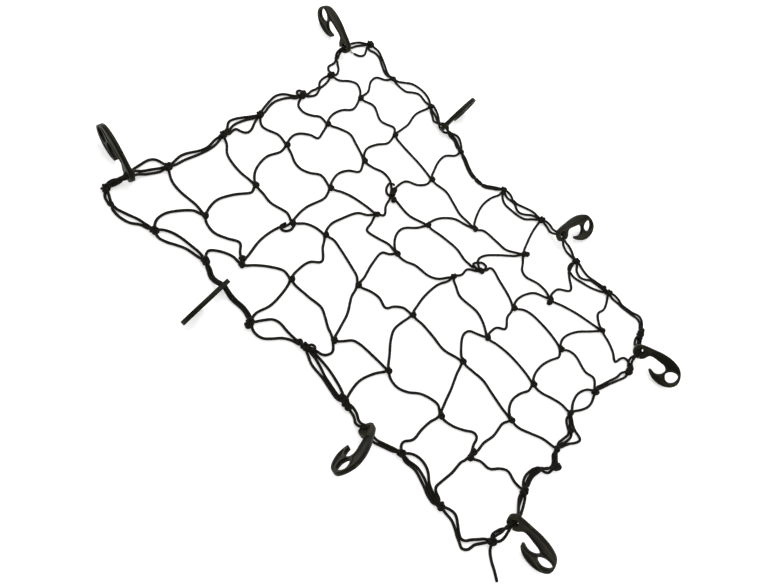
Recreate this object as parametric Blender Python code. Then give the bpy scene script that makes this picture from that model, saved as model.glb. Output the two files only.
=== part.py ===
"""Elastic cargo net: a slack, hand-knotted square mesh with a doubled border and eight plastic hooks.

The net lies on a flat surface. +X runs along its long sides, +Y across it and +Z up, and the
origin is on the surface under the middle of the whole net, hooks included. Plan positions are in
millimetres, measured from the middle of the mesh, and NET_SHIFT carries them to the origin.

The mesh is made as a net maker works it: twelve cords ("courses") run in steps from the left and
far borders towards the near right corner. At each knot one course comes from above, carries the
knot and leaves to the right. The course next to it comes from the left, bends round the knot and
leaves downwards. The border is a doubled cord, solid here, that is threaded through the hooks.
"""
import math

import bmesh
import bpy
import numpy as np
from mathutils import Vector

MM = 0.001
GAP = 0.4                    # clear space between neighbouring pieces
SURFACE_GAP = 0.05           # a lying cord is this far above the surface
BORDER_END_GAP = 1.5         # a border section may end on a slope, so it keeps further off
NET_SHIFT = (-0.9, -7.4)     # from the middle of the mesh to the middle of the whole net

CORD_D = 3.5                 # one elastic cord
BORDER_D = 5.6               # two cords twisted together
CORD_SIDES = 6
BORDER_SIDES = 6
KNOT_R = 4.2                 # a mesh knot, seen from above
KNOT_HALF_HEIGHT = 3.4
BORDER_KNOT_R = 5.0
BORDER_KNOT_HALF_HEIGHT = 4.2
KNOT_UNDERSIDE = 0.75        # radius of a knot's flat underside, as a share of its radius
KNOT_TOP = 0.6               # and of its flat top
BIGHT_R = 7.5                # how far a bight's middle stays from the knot that it belongs to
BIGHT_MOUTH = 10.5           # how far from that knot the bight begins and ends
ROUTE_STEP = 2.0             # spacing of the smooth route before it is thinned
ROUTE_TOLERANCE = 1.5        # how far the thinned route may leave the smooth one

HOOK_THICKNESS = 5.5
OUTLINE_STEP = 3.2           # spacing of the points on a hook's smooth outline
HOOK_EYE = (9.0, 2.0)        # the middle of the hook's eye, along and across the hook
HOOK_EYE_D = 9.0
HOOK_SLIT = 1.6              # the snap-in slit of the eye
HOOK_SLIT_ANGLE = -62        # which way the slit leaves the eye, from along towards the spine
HOOK_SLIT_REACH = 14.0       # how far the slit's cutter reaches from the eye's middle
# Outline of a hook, (along, across) in mm: from the eye end over the spine to the bend, round the
# broad point, up the throat and back along the shank. A smooth closed curve runs through it.
HOOK_OUTLINE = [
    (0, 2), (3, 8.7), (10, 11.7), (22, 14.2), (37, 17), (53, 17), (66.5, 12.7), (75, 3),
    (77, -7), (72, -14.6), (62.5, -19), (50.5, -19.5), (41, -16.5), (34.5, -11.2), (36, -9.3),
    (42, -10.7), (47.5, -10.2), (52.5, -6), (53.5, 0), (48.5, 4), (39, 5), (23, 4.2),
    (18.5, -3.6), (12, -7.8), (4, -6),
]
HOOK_HOLE = [(55, -3), (59.5, -9.4), (68, -10.8), (73.5, -5.4), (73, 2.4), (66, 4.8), (58.5, 2.4)]
# Each hook stands on edge: the plan place of its eye, the way it points (degrees from +X,
# anticlockwise), how far its spine leans from upright to the left of that way, and how far its
# bend end is raised.
HOOKS = {
    # name: (x, y, heading, lean, pitch)
    "far_left": (-287, 188, 166, -4, 9),
    "near_left": (-294, -185, 168, 2, 9),
    "near_1": (-129, -199, -82, 12, 17),
    "near_2": (96, -200, -81, 32, 20),
    "near_right": (281, -162, -4, 21, -5),
    "far_right": (295, 154, 11, 44, 0),
    "far_2": (114, 212, 74, 57, -2),
    "far_1": (-110, 213, 90, -6, 12),
}
CLIMB_SHARE = 0.75           # how much of a leaning eye's slope the cord through it takes
EYE_REACH = 6.0              # the cord runs straight this far to each side of an eye

# Mesh knots, row by row from the far side to the near one, each row from left to right.
KNOTS = [
    [(-217, 149), (-146, 144), (-66, 132), (23, 121), (94, 148), (161, 124), (242, 147)],
    [(-214, 76), (-144, 74), (-86, 66), (-24, 70), (68, 76), (132, 70), (213, 75)],
    [(-222, 5), (-143, 4), (-79, 24), (-24, 2), (47, 38), (131, 6), (212, 4)],
    [(-203, -71), (-138, -73), (-101, -52), (-28, -71), (44, -47), (127, -45), (217, -57)],
    [(-208, -149), (-136, -161), (-86, -129), (0, -147), (69, -126), (149, -120), (205, -132)],
]
# Border knots in which mesh cords end.
LEFT_KNOTS = [(-268, 141), (-266, 79), (-275, 8), (-279, -53), (-282, -138)]
RIGHT_KNOTS = [(302, 125), (280, 62), (270, 10), (281, -42), (277, -115)]
FAR_KNOTS = [(-213, 217), (-147, 229), (-69, 206), (12, 210), (80, 218), (155, 206), (218, 205)]
NEAR_KNOTS = [(-228, -207), (-165, -190), (-79, -205), (-18, -179), (58, -193), (141, -189),
              (211, -201)]

# Waypoints of the lengthwise strands, one list a row and one entry a strand, from left to right.
ALONG = [
    [[(-256, 146), (-247, 158), (-238, 164), (-228, 160)],
     [(-198, 156), (-174, 145), (-155, 153)],
     [(-130, 140), (-95, 137)],
     [(-40, 134), (-22, 128), (-5, 122), (10, 122)],
     [(33, 130), (55, 132), (72, 133), (84, 141)],
     [(101, 138), (108, 126), (117, 123), (135, 129), (150, 129)],
     [(180, 131), (200, 138), (222, 143)],
     [(258, 141), (274, 134), (281, 127), (284, 134), (291, 133)]],
    [[(-258, 64), (-246, 62), (-236, 68), (-228, 76)],
     [(-200, 84), (-185, 90), (-170, 85)],
     [(-130, 76), (-116, 82), (-102, 80)],
     [(-72, 62), (-50, 60), (-36, 65)],
     [(0, 73), (25, 75), (42, 71), (56, 72)],
     [(75, 92), (95, 86), (115, 79)],
     [(143, 79), (155, 83), (185, 82), (200, 79)],
     [(222, 82), (233, 84), (256, 76), (270, 78)]],
    [[(-262, -1), (-255, 0), (-240, 7)],
     [(-210, 0), (-198, -6), (-187, -7), (-176, -2), (-164, 8)],
     [(-130, 12), (-116, 18), (-92, 23)],
     [(-75, 8), (-72, -4), (-55, -1), (-40, 4)],
     [(-10, 3), (2, 9), (24, 12), (35, 19)],
     [(58, 30), (70, 23), (100, 24), (115, 18)],
     [(145, 9), (165, 11), (190, 9)],
     [(225, 3), (240, 8), (256, 12)]],
    [[(-268, -57), (-255, -68), (-230, -73)],
     [(-190, -72), (-175, -74), (-152, -68)],
     [(-128, -61), (-117, -55)],
     [(-90, -49), (-75, -52), (-50, -59), (-38, -63)],
     [(-12, -65), (0, -63), (15, -67), (20, -58), (30, -49)],
     [(60, -47), (80, -49), (100, -52)],
     [(145, -45), (160, -44), (180, -49), (200, -54)],
     [(230, -57), (245, -51), (262, -44)]],
    [[(-265, -147), (-250, -149), (-225, -147)],
     [(-198, -155), (-185, -156), (-172, -150), (-158, -142), (-150, -150)],
     [(-127, -150), (-115, -138), (-100, -128)],
     [(-60, -130), (-38, -128), (-28, -133), (-15, -141)],
     [(8, -139), (15, -130), (24, -127), (45, -126)],
     [(79, -132), (90, -133), (102, -128), (114, -118), (127, -113), (138, -112)],
     [(165, -119), (180, -112), (191, -105), (197, -107), (199, -117)],
     [(217, -126), (230, -125), (240, -115), (249, -110), (262, -114)]],
]
# Waypoints of the crosswise strands, one list a column and one entry a strand, far to near.
ACROSS = [
    [[(-219, 207), (-229, 199), (-229, 186), (-219, 168)],
     [(-211, 125), (-219, 110), (-221, 92)],
     [(-209, 60), (-206, 47), (-215, 43), (-226, 31), (-228, 20)],
     [(-220, -10), (-225, -30), (-218, -57)],
     [(-199, -82), (-210, -103), (-216, -125)],
     [(-221, -154), (-231, -167), (-238, -183), (-237, -196)]],
    [[(-152, 200), (-147, 175), (-147, 160)],
     [(-144, 124), (-152, 108), (-155, 90)],
     [(-137, 55), (-147, 44), (-152, 30), (-150, 16)],
     [(-138, -14), (-143, -42), (-142, -60)],
     [(-145, -95), (-146, -120), (-141, -143)],
     [(-150, -161), (-163, -167), (-173, -178)]],
    [[(-70, 195), (-79, 181), (-79, 165), (-74, 148)],
     [(-66, 120), (-73, 108), (-88, 97)],
     [(-80, 45), (-72, 32)],
     [(-87, 13), (-96, 6), (-104, -18), (-107, -36)],
     [(-92, -67), (-79, -83), (-88, -95), (-90, -110)],
     [(-81, -150), (-79, -172), (-83, -192)]],
    [[(13, 199), (8, 182), (8, 155)],
     [(9, 115), (-5, 110), (-18, 96), (-24, 82)],
     [(-31, 55), (-43, 38), (-43, 24), (-35, 10)],
     [(-31, -7), (-38, -12), (-36, -35), (-30, -58)],
     [(-24, -88), (-12, -110), (-6, -130)],
     [(8, -157), (5, -164), (-11, -168)]],
    [[(82, 195), (86, 175)],
     [(87, 136), (70, 117), (57, 99), (55, 87)],
     [(53, 62), (53, 50)],
     [(46, 27), (40, 12), (38, -12), (40, -32)],
     [(41, -64), (40, -80), (46, -94), (56, -108)],
     [(60, -140), (53, -160), (54, -178)]],
    [[(154, 195), (160, 180), (175, 161), (160, 145)],
     [(151, 119), (140, 113), (131, 98), (128, 82)],
     [(133, 52), (141, 36), (131, 27)],
     [(117, -1), (108, -6), (106, -16), (113, -30)],
     [(131, -63), (138, -85), (143, -105)],
     [(144, -134), (142, -150), (142, -166), (135, -178)]],
    [[(224, 192), (227, 178), (224, 165), (231, 155)],
     [(229, 131), (216, 115), (208, 98), (207, 86)],
     [(217, 64), (210, 48), (206, 34), (206, 16)],
     [(212, -8), (206, -20), (203, -35), (207, -48)],
     [(211, -68), (211, -90), (207, -106), (207, -118)],
     [(200, -144), (198, -162), (198, -176), (206, -188)]],
]

# The border, clockwise from the far left corner knot. A plain pair is a waypoint on the surface,
# and a third number is a waypoint's height where the cord rises to a hook. A knot's third value is
# the node that it begins, or "" inside a node. A string is a hook whose eye the border threads.
BORDER = [
    (-275, 236, "border_far_1"), (-262, 238), (-248, 232), (-230, 219),
    (*FAR_KNOTS[0], ""), (-198, 226), (-180, 236), (-162, 236),
    (*FAR_KNOTS[1], "border_far_2"), (-134, 221), (-125, 214, 8), "far_1", (-95, 213, 8), (-82, 211),
    (*FAR_KNOTS[2], ""), (-55, 202), (-40, 193), (-25, 189), (-10, 194),
    (*FAR_KNOTS[3], "border_far_3"), (28, 207), (48, 208), (66, 214),
    (*FAR_KNOTS[4], ""), (90, 219), (99, 216, 6), "far_2", (131, 208, 12), (143, 209),
    (*FAR_KNOTS[5], "border_far_4"), (175, 201), (196, 203),
    (*FAR_KNOTS[6], ""), (240, 207), (262, 210), (278, 208),
    (287, 190, "border_right_1"), (290, 178), (292, 169, 9), "far_right", (298, 140, 13),
    (*RIGHT_KNOTS[0], ""), (299, 108), (291, 90), (283, 76),
    (*RIGHT_KNOTS[1], "border_right_2"), (276, 40), (271, 24),
    (*RIGHT_KNOTS[2], ""), (279, -5), (282, -22),
    (*RIGHT_KNOTS[3], "border_right_3"), (291, -61), (283, -73), (272, -88), (271, -102),
    (*RIGHT_KNOTS[4], ""), (282, -130, 8), (282, -146, 17), "near_right",
    (280, -176, 16), (280, -183, 8),
    (279, -193, "border_near_1"), (268, -198), (259, -208), (250, -211), (240, -206), (228, -200),
    (*NEAR_KNOTS[6], ""), (195, -196), (175, -189), (155, -188),
    (*NEAR_KNOTS[5], "border_near_2"), (124, -195), (111, -200, 6), "near_2",
    (81, -199, 10), (71, -197),
    (*NEAR_KNOTS[4], ""), (40, -187), (10, -184),
    (*NEAR_KNOTS[3], "border_near_3"), (-36, -185), (-58, -193),
    (*NEAR_KNOTS[2], ""), (-95, -199), (-106, -199), (-115, -199, 7), "near_1",
    (-143, -197, 7), (-152, -194),
    (*NEAR_KNOTS[1], "border_near_4"), (-185, -191), (-208, -200),
    (*NEAR_KNOTS[0], ""), (-250, -211), (-270, -217), (-288, -217),
    (-300, -212, "border_left_1"), (-298, -199, 10), "near_left", (-291, -171, 10), (-287, -158),
    (*LEFT_KNOTS[4], ""), (-281, -110), (-276, -88), (-277, -68),
    (*LEFT_KNOTS[3], "border_left_2"), (-283, -33), (-280, -12),
    (*LEFT_KNOTS[2], ""), (-281, 26), (-283, 46), (-277, 64),
    (*LEFT_KNOTS[1], "border_left_3"), (-261, 95), (-263, 110), (-267, 125),
    (*LEFT_KNOTS[0], ""), (-274, 154), (-284, 163, 5), (-291, 174, 10), "far_left",
    (-283, 203, 10), (-280, 219),
]
FAR_TAIL = [(-271, 223), (-267, 214), (-270, 206), (-278, 202)]
NEAR_TAIL = [(283, -197), (291, -204), (300, -210), (309, -217)]


def world(x, y, z):
    """A plan point and height in mm, as a point in metres from the net's origin."""
    return Vector((x + NET_SHIFT[0], y + NET_SHIFT[1], z)) * MM


def smooth_route(points, step=ROUTE_STEP, closed=False):
    """A centripetal Catmull-Rom curve through the route's points, one point every `step` mm."""
    points = [np.array(p, float) for p in points]
    if closed:
        padded = [points[-1], *points, points[0], points[1]]
    else:
        padded = [2 * points[0] - points[1], *points, 2 * points[-1] - points[-2]]
    route = []
    for p0, p1, p2, p3 in zip(padded, padded[1:], padded[2:], padded[3:]):
        t1 = np.linalg.norm(p1 - p0) ** 0.5
        t2 = t1 + np.linalg.norm(p2 - p1) ** 0.5
        t3 = t2 + np.linalg.norm(p3 - p2) ** 0.5
        count = max(1, round(np.linalg.norm(p2 - p1) / step))
        for t in np.linspace(t1, t2, count, endpoint=False):
            a1 = (t1 - t) / t1 * p0 + t / t1 * p1
            a2 = (t2 - t) / (t2 - t1) * p1 + (t - t1) / (t2 - t1) * p2
            a3 = (t3 - t) / (t3 - t2) * p2 + (t - t2) / (t3 - t2) * p3
            b1 = (t2 - t) / t2 * a1 + t / t2 * a2
            b2 = (t3 - t) / (t3 - t1) * a2 + (t - t1) / (t3 - t1) * a3
            route.append((t2 - t) / (t2 - t1) * b1 + (t - t1) / (t2 - t1) * b2)
    return np.array(route if closed else route + [points[-1]])


def thinned(route, tolerance=ROUTE_TOLERANCE):
    """The fewest of the route's points that stay within `tolerance` of it (Douglas-Peucker)."""
    if len(route) < 3:
        return list(route)
    chord = route[-1] - route[0]
    along = np.clip((route - route[0]) @ chord / max(chord @ chord, 1e-9), 0, 1)
    off = np.linalg.norm(route - route[0] - along[:, None] * chord, axis=1)
    far = int(off.argmax())
    if off[far] <= tolerance:
        return [route[0], route[-1]]
    return thinned(route[:far + 1], tolerance)[:-1] + thinned(route[far:], tolerance)


def bridge(bm, rings):
    """Skin a row of equal rings and close both ends."""
    for low, high in zip(rings, rings[1:]):
        for k in range(len(low)):
            following = (k + 1) % len(low)
            bm.faces.new((low[k], low[following], high[following], high[k]))
    bm.faces.new(list(reversed(rings[0])))
    bm.faces.new(rings[-1])
    bmesh.ops.recalc_face_normals(bm, faces=bm.faces)


def add_tube(bm, points, radius, sides):
    """A closed tube with flat ends along a polyline in mm, its rings turned without twist."""
    points = [world(*p) for p in points]
    side = None
    rings = []
    for i, here in enumerate(points):
        before = (here - points[max(i - 1, 0)]).normalized()
        after = (points[min(i + 1, len(points) - 1)] - here).normalized()
        along = (before + after).normalized()
        if side is None:
            side = along.cross(Vector((0, 0, 1))).normalized()
        side = (side - along * side.dot(along)).normalized()
        up = side.cross(along)
        ring = []
        for k in range(sides):
            turn = 2 * math.pi * k / sides
            offset = side * math.cos(turn) + up * math.sin(turn)
            ring.append(bm.verts.new(here + offset * radius * MM))
        rings.append(ring)
    bridge(bm, rings)


def add_knot(bm, place, radius, half_height):
    """A knot lump with a flat underside that stands on the surface and a smaller flat top."""
    levels = ((0, KNOT_UNDERSIDE), (half_height, 1), (2 * half_height, KNOT_TOP))
    turned = math.radians(place[0] + place[1])
    rings = []
    for z, share in levels:
        ring = []
        for k in range(CORD_SIDES):
            turn = turned + 2 * math.pi * k / CORD_SIDES
            x = place[0] + radius * share * math.cos(turn)
            y = place[1] + radius * share * math.sin(turn)
            ring.append(bm.verts.new(world(x, y, z)))
        rings.append(ring)
    bridge(bm, rings)


def mesh_object(name, bm, material):
    mesh = bpy.data.meshes.new(name)
    bm.to_mesh(mesh)
    bm.free()
    mesh.materials.append(material)
    obj = bpy.data.objects.new(name, mesh)
    bpy.context.scene.collection.objects.link(obj)
    return obj


def with_boolean(obj, operation, bm, material):
    """Cut another mesh out of an object, or unite the two, with a live Boolean modifier."""
    tool = mesh_object(f"{obj.name}_{operation.lower()}", bm, material)
    tool.hide_render = True
    tool.display_type = "WIRE"
    modifier = obj.modifiers.new(operation.lower(), "BOOLEAN")
    modifier.operation = operation
    modifier.solver = "EXACT"
    modifier.object = tool
    return obj


def cord_with_knots(name, points, diameter, sides, knots, knot_size, material):
    """One cord as one body: its tube, united with the knots that are tied in it."""
    route = smooth_route(points)
    route[:, 2] = np.maximum(route[:, 2], diameter / 2 + SURFACE_GAP)
    bm = bmesh.new()
    add_tube(bm, thinned(route), diameter / 2, sides)
    cord = mesh_object(name, bm, material)
    if not knots:
        return cord
    lumps = bmesh.new()
    for place in knots:
        add_knot(lumps, place, *knot_size)
    return with_boolean(cord, "UNION", lumps, material)


def toward(start, end, distance):
    """The plan point `distance` from start on the way to end."""
    start, end = np.array(start[:2], float), np.array(end[:2], float)
    return start + (end - start) / np.linalg.norm(end - start) * distance


def strand(row, column, way):
    """A strand's first knot, waypoints and last knot; row and column 0 are the border's."""
    if way == "along":
        left = KNOTS[row - 1][column - 1] if column > 0 else LEFT_KNOTS[row - 1]
        right = KNOTS[row - 1][column] if column < 7 else RIGHT_KNOTS[row - 1]
        return left, ALONG[row - 1][column], right
    far = KNOTS[row - 1][column - 1] if row > 0 else FAR_KNOTS[column - 1]
    near = KNOTS[row][column - 1] if row < 5 else NEAR_KNOTS[column - 1]
    return far, ACROSS[column - 1][row], near


def course(row, column, way):
    """The route of one mesh cord from where it leaves the border, and the knots tied in it."""
    low = CORD_D / 2
    clear = BORDER_KNOT_R + GAP
    start, ways, knot = strand(row, column, way)
    route = [(*toward(start, ways[0], clear), low)]
    knots = []
    while True:
        route += [(x, y, low) for x, y in ways]
        if way == "along":
            column += 1
        else:
            row += 1
        if row > 5 or column > 7:
            route.append((*toward(knot, ways[-1], clear), low))
            return route, knots
        came, bight = ways[-1], way == "along"
        way = "across" if bight else "along"
        _, ways, following = strand(row, column, way)
        if bight:
            mouth = toward(knot, came, BIGHT_MOUTH), toward(knot, ways[0], BIGHT_MOUTH)
            middle = toward(knot, (mouth[0] + mouth[1]) / 2, BIGHT_R)
            route += [(*mouth[0], low), (*middle, low), (*mouth[1], low)]
        else:
            route.append((*knot, KNOT_HALF_HEIGHT))
            knots.append(knot)
        knot = following


def hook_axes(heading, lean, pitch):
    """A hook's unit vectors: along it, across it towards its spine, and through its eye."""
    turn, tip, lift = (math.radians(a) for a in (heading, lean, pitch))
    ahead = Vector((math.cos(turn), math.sin(turn), 0))
    left = Vector((-math.sin(turn), math.cos(turn), 0))
    up = Vector((0, 0, 1))
    along = ahead * math.cos(lift) + up * math.sin(lift)
    across = (up * math.cos(lift) - ahead * math.sin(lift)) * math.cos(tip) + left * math.sin(tip)
    return along, across, along.cross(across)


def hook_eye(name):
    """The middle of a hook's eye in mm, at the height at which the hook stands on the surface."""
    x, y, heading, lean, pitch = HOOKS[name]
    along, across, through = hook_axes(heading, lean, pitch)
    lowest = min(
        (a - HOOK_EYE[0]) * along.z + (c - HOOK_EYE[1]) * across.z
        for a, c in smooth_loop(HOOK_OUTLINE)
    )
    return Vector((x, y, HOOK_THICKNESS / 2 * abs(through.z) - lowest))


def smooth_loop(outline, step=OUTLINE_STEP):
    """A smooth closed curve through an outline's points, as (along, across)."""
    return [tuple(p) for p in smooth_route(outline, step, closed=True)]


def add_slab(bm, outline, half_thickness, placed):
    """A plate with the given outline, turned and put in place by the function `placed`."""
    levels = (-half_thickness, half_thickness)
    bridge(bm, [[bm.verts.new(placed(a, c, t)) for a, c in outline] for t in levels])


def hook(name, material):
    """A flat moulded hook: outline, oval hole, and a round eye with its snap-in slit."""
    _, _, heading, lean, pitch = HOOKS[name]
    along, across, through = hook_axes(heading, lean, pitch)
    eye = hook_eye(name)

    def placed(a, c, t):
        spot = eye + along * (a - HOOK_EYE[0]) + across * (c - HOOK_EYE[1]) + through * t
        return world(*spot)

    bm = bmesh.new()
    add_slab(bm, smooth_loop(HOOK_OUTLINE), HOOK_THICKNESS / 2, placed)
    body = mesh_object("hook_" + name, bm, material)
    holes = bmesh.new()
    add_slab(holes, smooth_loop(HOOK_HOLE), HOOK_THICKNESS, placed)
    with_boolean(body, "DIFFERENCE", holes, material)
    # The eye and its slit are one keyhole outline, its slit running out past the eye's lip.
    radius, half = HOOK_EYE_D / 2, HOOK_SLIT / 2
    start = math.asin(half / radius)
    turns = np.linspace(start, 2 * math.pi - start, 15)
    keyhole = [(radius * math.cos(t), radius * math.sin(t)) for t in turns]
    keyhole += [(HOOK_SLIT_REACH, -half), (HOOK_SLIT_REACH, half)]
    turn = math.radians(HOOK_SLIT_ANGLE)
    keyhole = [
        (HOOK_EYE[0] + a * math.cos(turn) - c * math.sin(turn),
         HOOK_EYE[1] + a * math.sin(turn) + c * math.cos(turn))
        for a, c in keyhole
    ]
    cutter = bmesh.new()
    add_slab(cutter, keyhole, HOOK_THICKNESS, placed)
    return with_boolean(body, "DIFFERENCE", cutter, material)


def border_routes():
    """The border's nodes: for each, its name, its route and the knots tied in it."""
    sections = []
    for k, entry in enumerate(BORDER):
        if isinstance(entry, str):
            before, after = BORDER[k - 1], BORDER[(k + 1) % len(BORDER)]
            travel = Vector((after[0] - before[0], after[1] - before[1], 0))
            through = hook_axes(*HOOKS[entry][2:])[2]
            if through.dot(travel) < 0:
                through = -through
            level = Vector((through.x, through.y, 0)).normalized()
            climb = math.asin(through.z) * CLIMB_SHARE
            way = level * math.cos(climb) + Vector((0, 0, math.sin(climb)))
            eye = hook_eye(entry)
            for reach in (-EYE_REACH, 0, EYE_REACH):
                sections[-1][1].append(tuple(eye + way * reach))
            continue
        if not isinstance(entry[-1], str):
            height = entry[2] if len(entry) == 3 else BORDER_D / 2
            sections[-1][1].append((*entry[:2], height))
            continue
        x, y, name = entry
        if name:
            if sections:
                finish_section(sections[-1], (x, y))
            sections.append((name, [], []))
        sections[-1][1].append((x, y, BORDER_KNOT_HALF_HEIGHT))
        sections[-1][2].append((x, y))
    finish_section(sections[-1], BORDER[0][:2])
    return sections


def finish_section(section, following_knot):
    """End a border node just short of the knot that begins the next one."""
    route = section[1]
    end = toward(following_knot, route[-1], BORDER_KNOT_R + BORDER_END_GAP)
    route.append((*end, BORDER_KNOT_HALF_HEIGHT))


def plain_material(name, colour, roughness):
    material = bpy.data.materials.new(name)
    material.use_nodes = True
    shader = material.node_tree.nodes["Principled BSDF"]
    shader.inputs["Base Color"].default_value = (*colour, 1)
    shader.inputs["Roughness"].default_value = roughness
    shader.inputs["Metallic"].default_value = 0
    return material


def build():
    for obj in list(bpy.data.objects):
        bpy.data.objects.remove(obj)
    cord = plain_material("cord_black", (0.012, 0.012, 0.011), 0.75)
    plastic = plain_material("hook_black", (0.022, 0.022, 0.019), 0.45)

    starts = [(row, 0, "along") for row in range(1, 6)]
    starts += [(0, column, "across") for column in range(1, 8)]
    for row, column, way in starts:
        route, knots = course(row, column, way)
        name = f"course_left_{row}" if way == "along" else f"course_far_{column}"
        cord_with_knots(name, route, CORD_D, CORD_SIDES, knots, (KNOT_R, KNOT_HALF_HEIGHT), cord)

    for name, route, knots in border_routes():
        size = (BORDER_KNOT_R, BORDER_KNOT_HALF_HEIGHT)
        cord_with_knots(name, route, BORDER_D, BORDER_SIDES, knots, size, cord)

    for name in HOOKS:
        hook(name, plastic)

    for name, tail in (("tail_far", FAR_TAIL), ("tail_near", NEAR_TAIL)):
        route = [(x, y, CORD_D / 2) for x, y in tail]
        cord_with_knots(name, route, CORD_D, CORD_SIDES, [], None, cord)


build()
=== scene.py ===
# %% [markdown]
# # An elastic cargo net
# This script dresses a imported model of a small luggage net: a square mesh knotted by hand from
# black elastic cord, a border of two cords laid together, and eight clip-on plastic hooks. The net
# lies slack on a floor, just as it was dropped and pulled roughly square.
#
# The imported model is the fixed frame. It has every cord as a plain six-sided tube and every hook as
# a flat plate. Here each of those gets a finer piece in the same place: round braided cord with
# tied knots, and moulded hooks with rounded edges, pockets and a parting line.

# %% Load the frame
import math

import bpy
import numpy as np
from mathutils import Matrix, Vector
from mathutils.kdtree import KDTree

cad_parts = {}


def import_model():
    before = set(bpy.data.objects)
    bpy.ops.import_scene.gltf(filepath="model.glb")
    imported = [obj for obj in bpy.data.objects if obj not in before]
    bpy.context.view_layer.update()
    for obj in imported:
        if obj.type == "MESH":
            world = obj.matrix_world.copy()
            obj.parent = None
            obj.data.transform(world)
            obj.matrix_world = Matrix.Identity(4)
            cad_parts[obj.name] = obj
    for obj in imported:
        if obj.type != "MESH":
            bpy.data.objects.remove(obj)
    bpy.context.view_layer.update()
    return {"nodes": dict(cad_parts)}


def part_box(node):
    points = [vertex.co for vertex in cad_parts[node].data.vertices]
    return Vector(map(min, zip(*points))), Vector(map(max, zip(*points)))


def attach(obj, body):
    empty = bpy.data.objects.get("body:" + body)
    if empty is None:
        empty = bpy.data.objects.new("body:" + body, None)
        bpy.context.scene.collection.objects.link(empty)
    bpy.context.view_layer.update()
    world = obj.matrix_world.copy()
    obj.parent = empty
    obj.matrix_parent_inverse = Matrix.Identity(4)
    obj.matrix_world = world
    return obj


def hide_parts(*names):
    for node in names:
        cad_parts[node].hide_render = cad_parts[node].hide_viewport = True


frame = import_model()
bpy.ops.object.select_all(action="DESELECT")
print("packed nodes:", len(frame["nodes"]))

# %% [markdown]
# ## Units and the net's own plan
# A net is easiest to describe flat, from above. So every place below is in millimetres on the
# net's plan, measured from the middle of the mesh, and one function carries it into the frame,
# whose origin is on the floor under the middle of the whole net.

# %% Units
MM = 0.001
NET_SHIFT = np.array((-0.9, -7.4, 0.0))   # from the middle of the mesh to the frame's origin, mm
CORD_D = 3.5                              # one elastic cord
CORD_R = CORD_D / 2


def world(points):
    """Plan points in mm, one a row, as points in metres in the frame."""
    return (np.asarray(points, float) + NET_SHIFT) * MM


print("cord diameter:", CORD_D * MM, "m")

# %% [markdown]
# ## The camera
# The net is seen from above and from one of its long sides, with the camera rolled, so that the
# net runs from the upper left to the lower right. A camera's own axes are X to the right, Y up and
# Z backwards, so the three columns of its rotation are built from its yaw, pitch and roll. That
# says more than three Euler angles would, and it can't flip.

# %% The camera
YAW, PITCH, ROLL = (math.radians(a) for a in (5, 57, 40))
CAMERA_PLACE = Vector((0.0454, -0.5287, 0.7353))
CAMERA_LENS = 33.0

level_right = Vector((math.cos(YAW), math.sin(YAW), 0))
level_ahead = Vector((-math.sin(YAW), math.cos(YAW), 0))
ahead = level_ahead * math.cos(PITCH) - Vector((0, 0, math.sin(PITCH)))
above = level_ahead * math.sin(PITCH) + Vector((0, 0, math.cos(PITCH)))
camera_x = level_right * math.cos(ROLL) + above * math.sin(ROLL)
camera_y = above * math.cos(ROLL) - level_right * math.sin(ROLL)

bpy.ops.object.camera_add(location=CAMERA_PLACE)
camera = bpy.context.object
camera.data.lens = CAMERA_LENS
turned = Matrix((camera_x, camera_y, -ahead)).transposed().to_4x4()
camera.matrix_world = Matrix.Translation(CAMERA_PLACE) @ turned
bpy.context.scene.camera = camera
print("camera at", tuple(CAMERA_PLACE), "lens", CAMERA_LENS)

# %% [markdown]
# ## Floor and light
# Black cord on a white floor has to stay black, and the floor has to stay white. So the floor is a
# light table: it glows a little by itself, which washes the shadows out, and the rest of the light
# is a white sky and one large lamp on the far left that draws a thin sheen along the cords and the
# hooks' spines. The standard view keeps white as white.

# %% Floor and light
FLOOR_SIZE = 12.0
FLOOR_DROP = 0.0002          # the floor is this far under the cords, so that nothing flickers
FLOOR_WHITE = (0.93, 0.93, 0.925, 1)
FLOOR_GLOW = 0.45
SKY_STRENGTH = 0.75
LAMP_PLACE, LAMP_SIZE, LAMP_POWER = (-0.9, 1.1, 1.6), 1.2, 22.0     # metres, metres, watts

bpy.ops.mesh.primitive_plane_add(size=FLOOR_SIZE, location=(0, 0, -FLOOR_DROP))
floor = bpy.context.object
floor.name = "floor"
floor_finish = bpy.data.materials.new("light_table")
floor_finish.use_nodes = True
floor_shader = floor_finish.node_tree.nodes["Principled BSDF"]
floor_shader.inputs["Base Color"].default_value = FLOOR_WHITE
floor_shader.inputs["Roughness"].default_value = 0.9
floor_shader.inputs["Emission Color"].default_value = (1, 1, 1, 1)
floor_shader.inputs["Emission Strength"].default_value = FLOOR_GLOW
floor.data.materials.append(floor_finish)

sky = bpy.context.scene.world or bpy.data.worlds.new("sky")
bpy.context.scene.world = sky
sky.use_nodes = True
sky_light = sky.node_tree.nodes["Background"]
sky_light.inputs["Color"].default_value = (1, 1, 1, 1)
sky_light.inputs["Strength"].default_value = SKY_STRENGTH
bpy.context.scene.view_settings.view_transform = "Standard"

bpy.ops.object.light_add(type="AREA", location=LAMP_PLACE)
lamp = bpy.context.object
lamp.data.size = LAMP_SIZE
lamp.data.energy = LAMP_POWER
lamp.rotation_euler = (-Vector(LAMP_PLACE)).to_track_quat("-Z", "Y").to_euler()
print("sky", SKY_STRENGTH, "and one lamp of", LAMP_POWER, "W")

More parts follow.
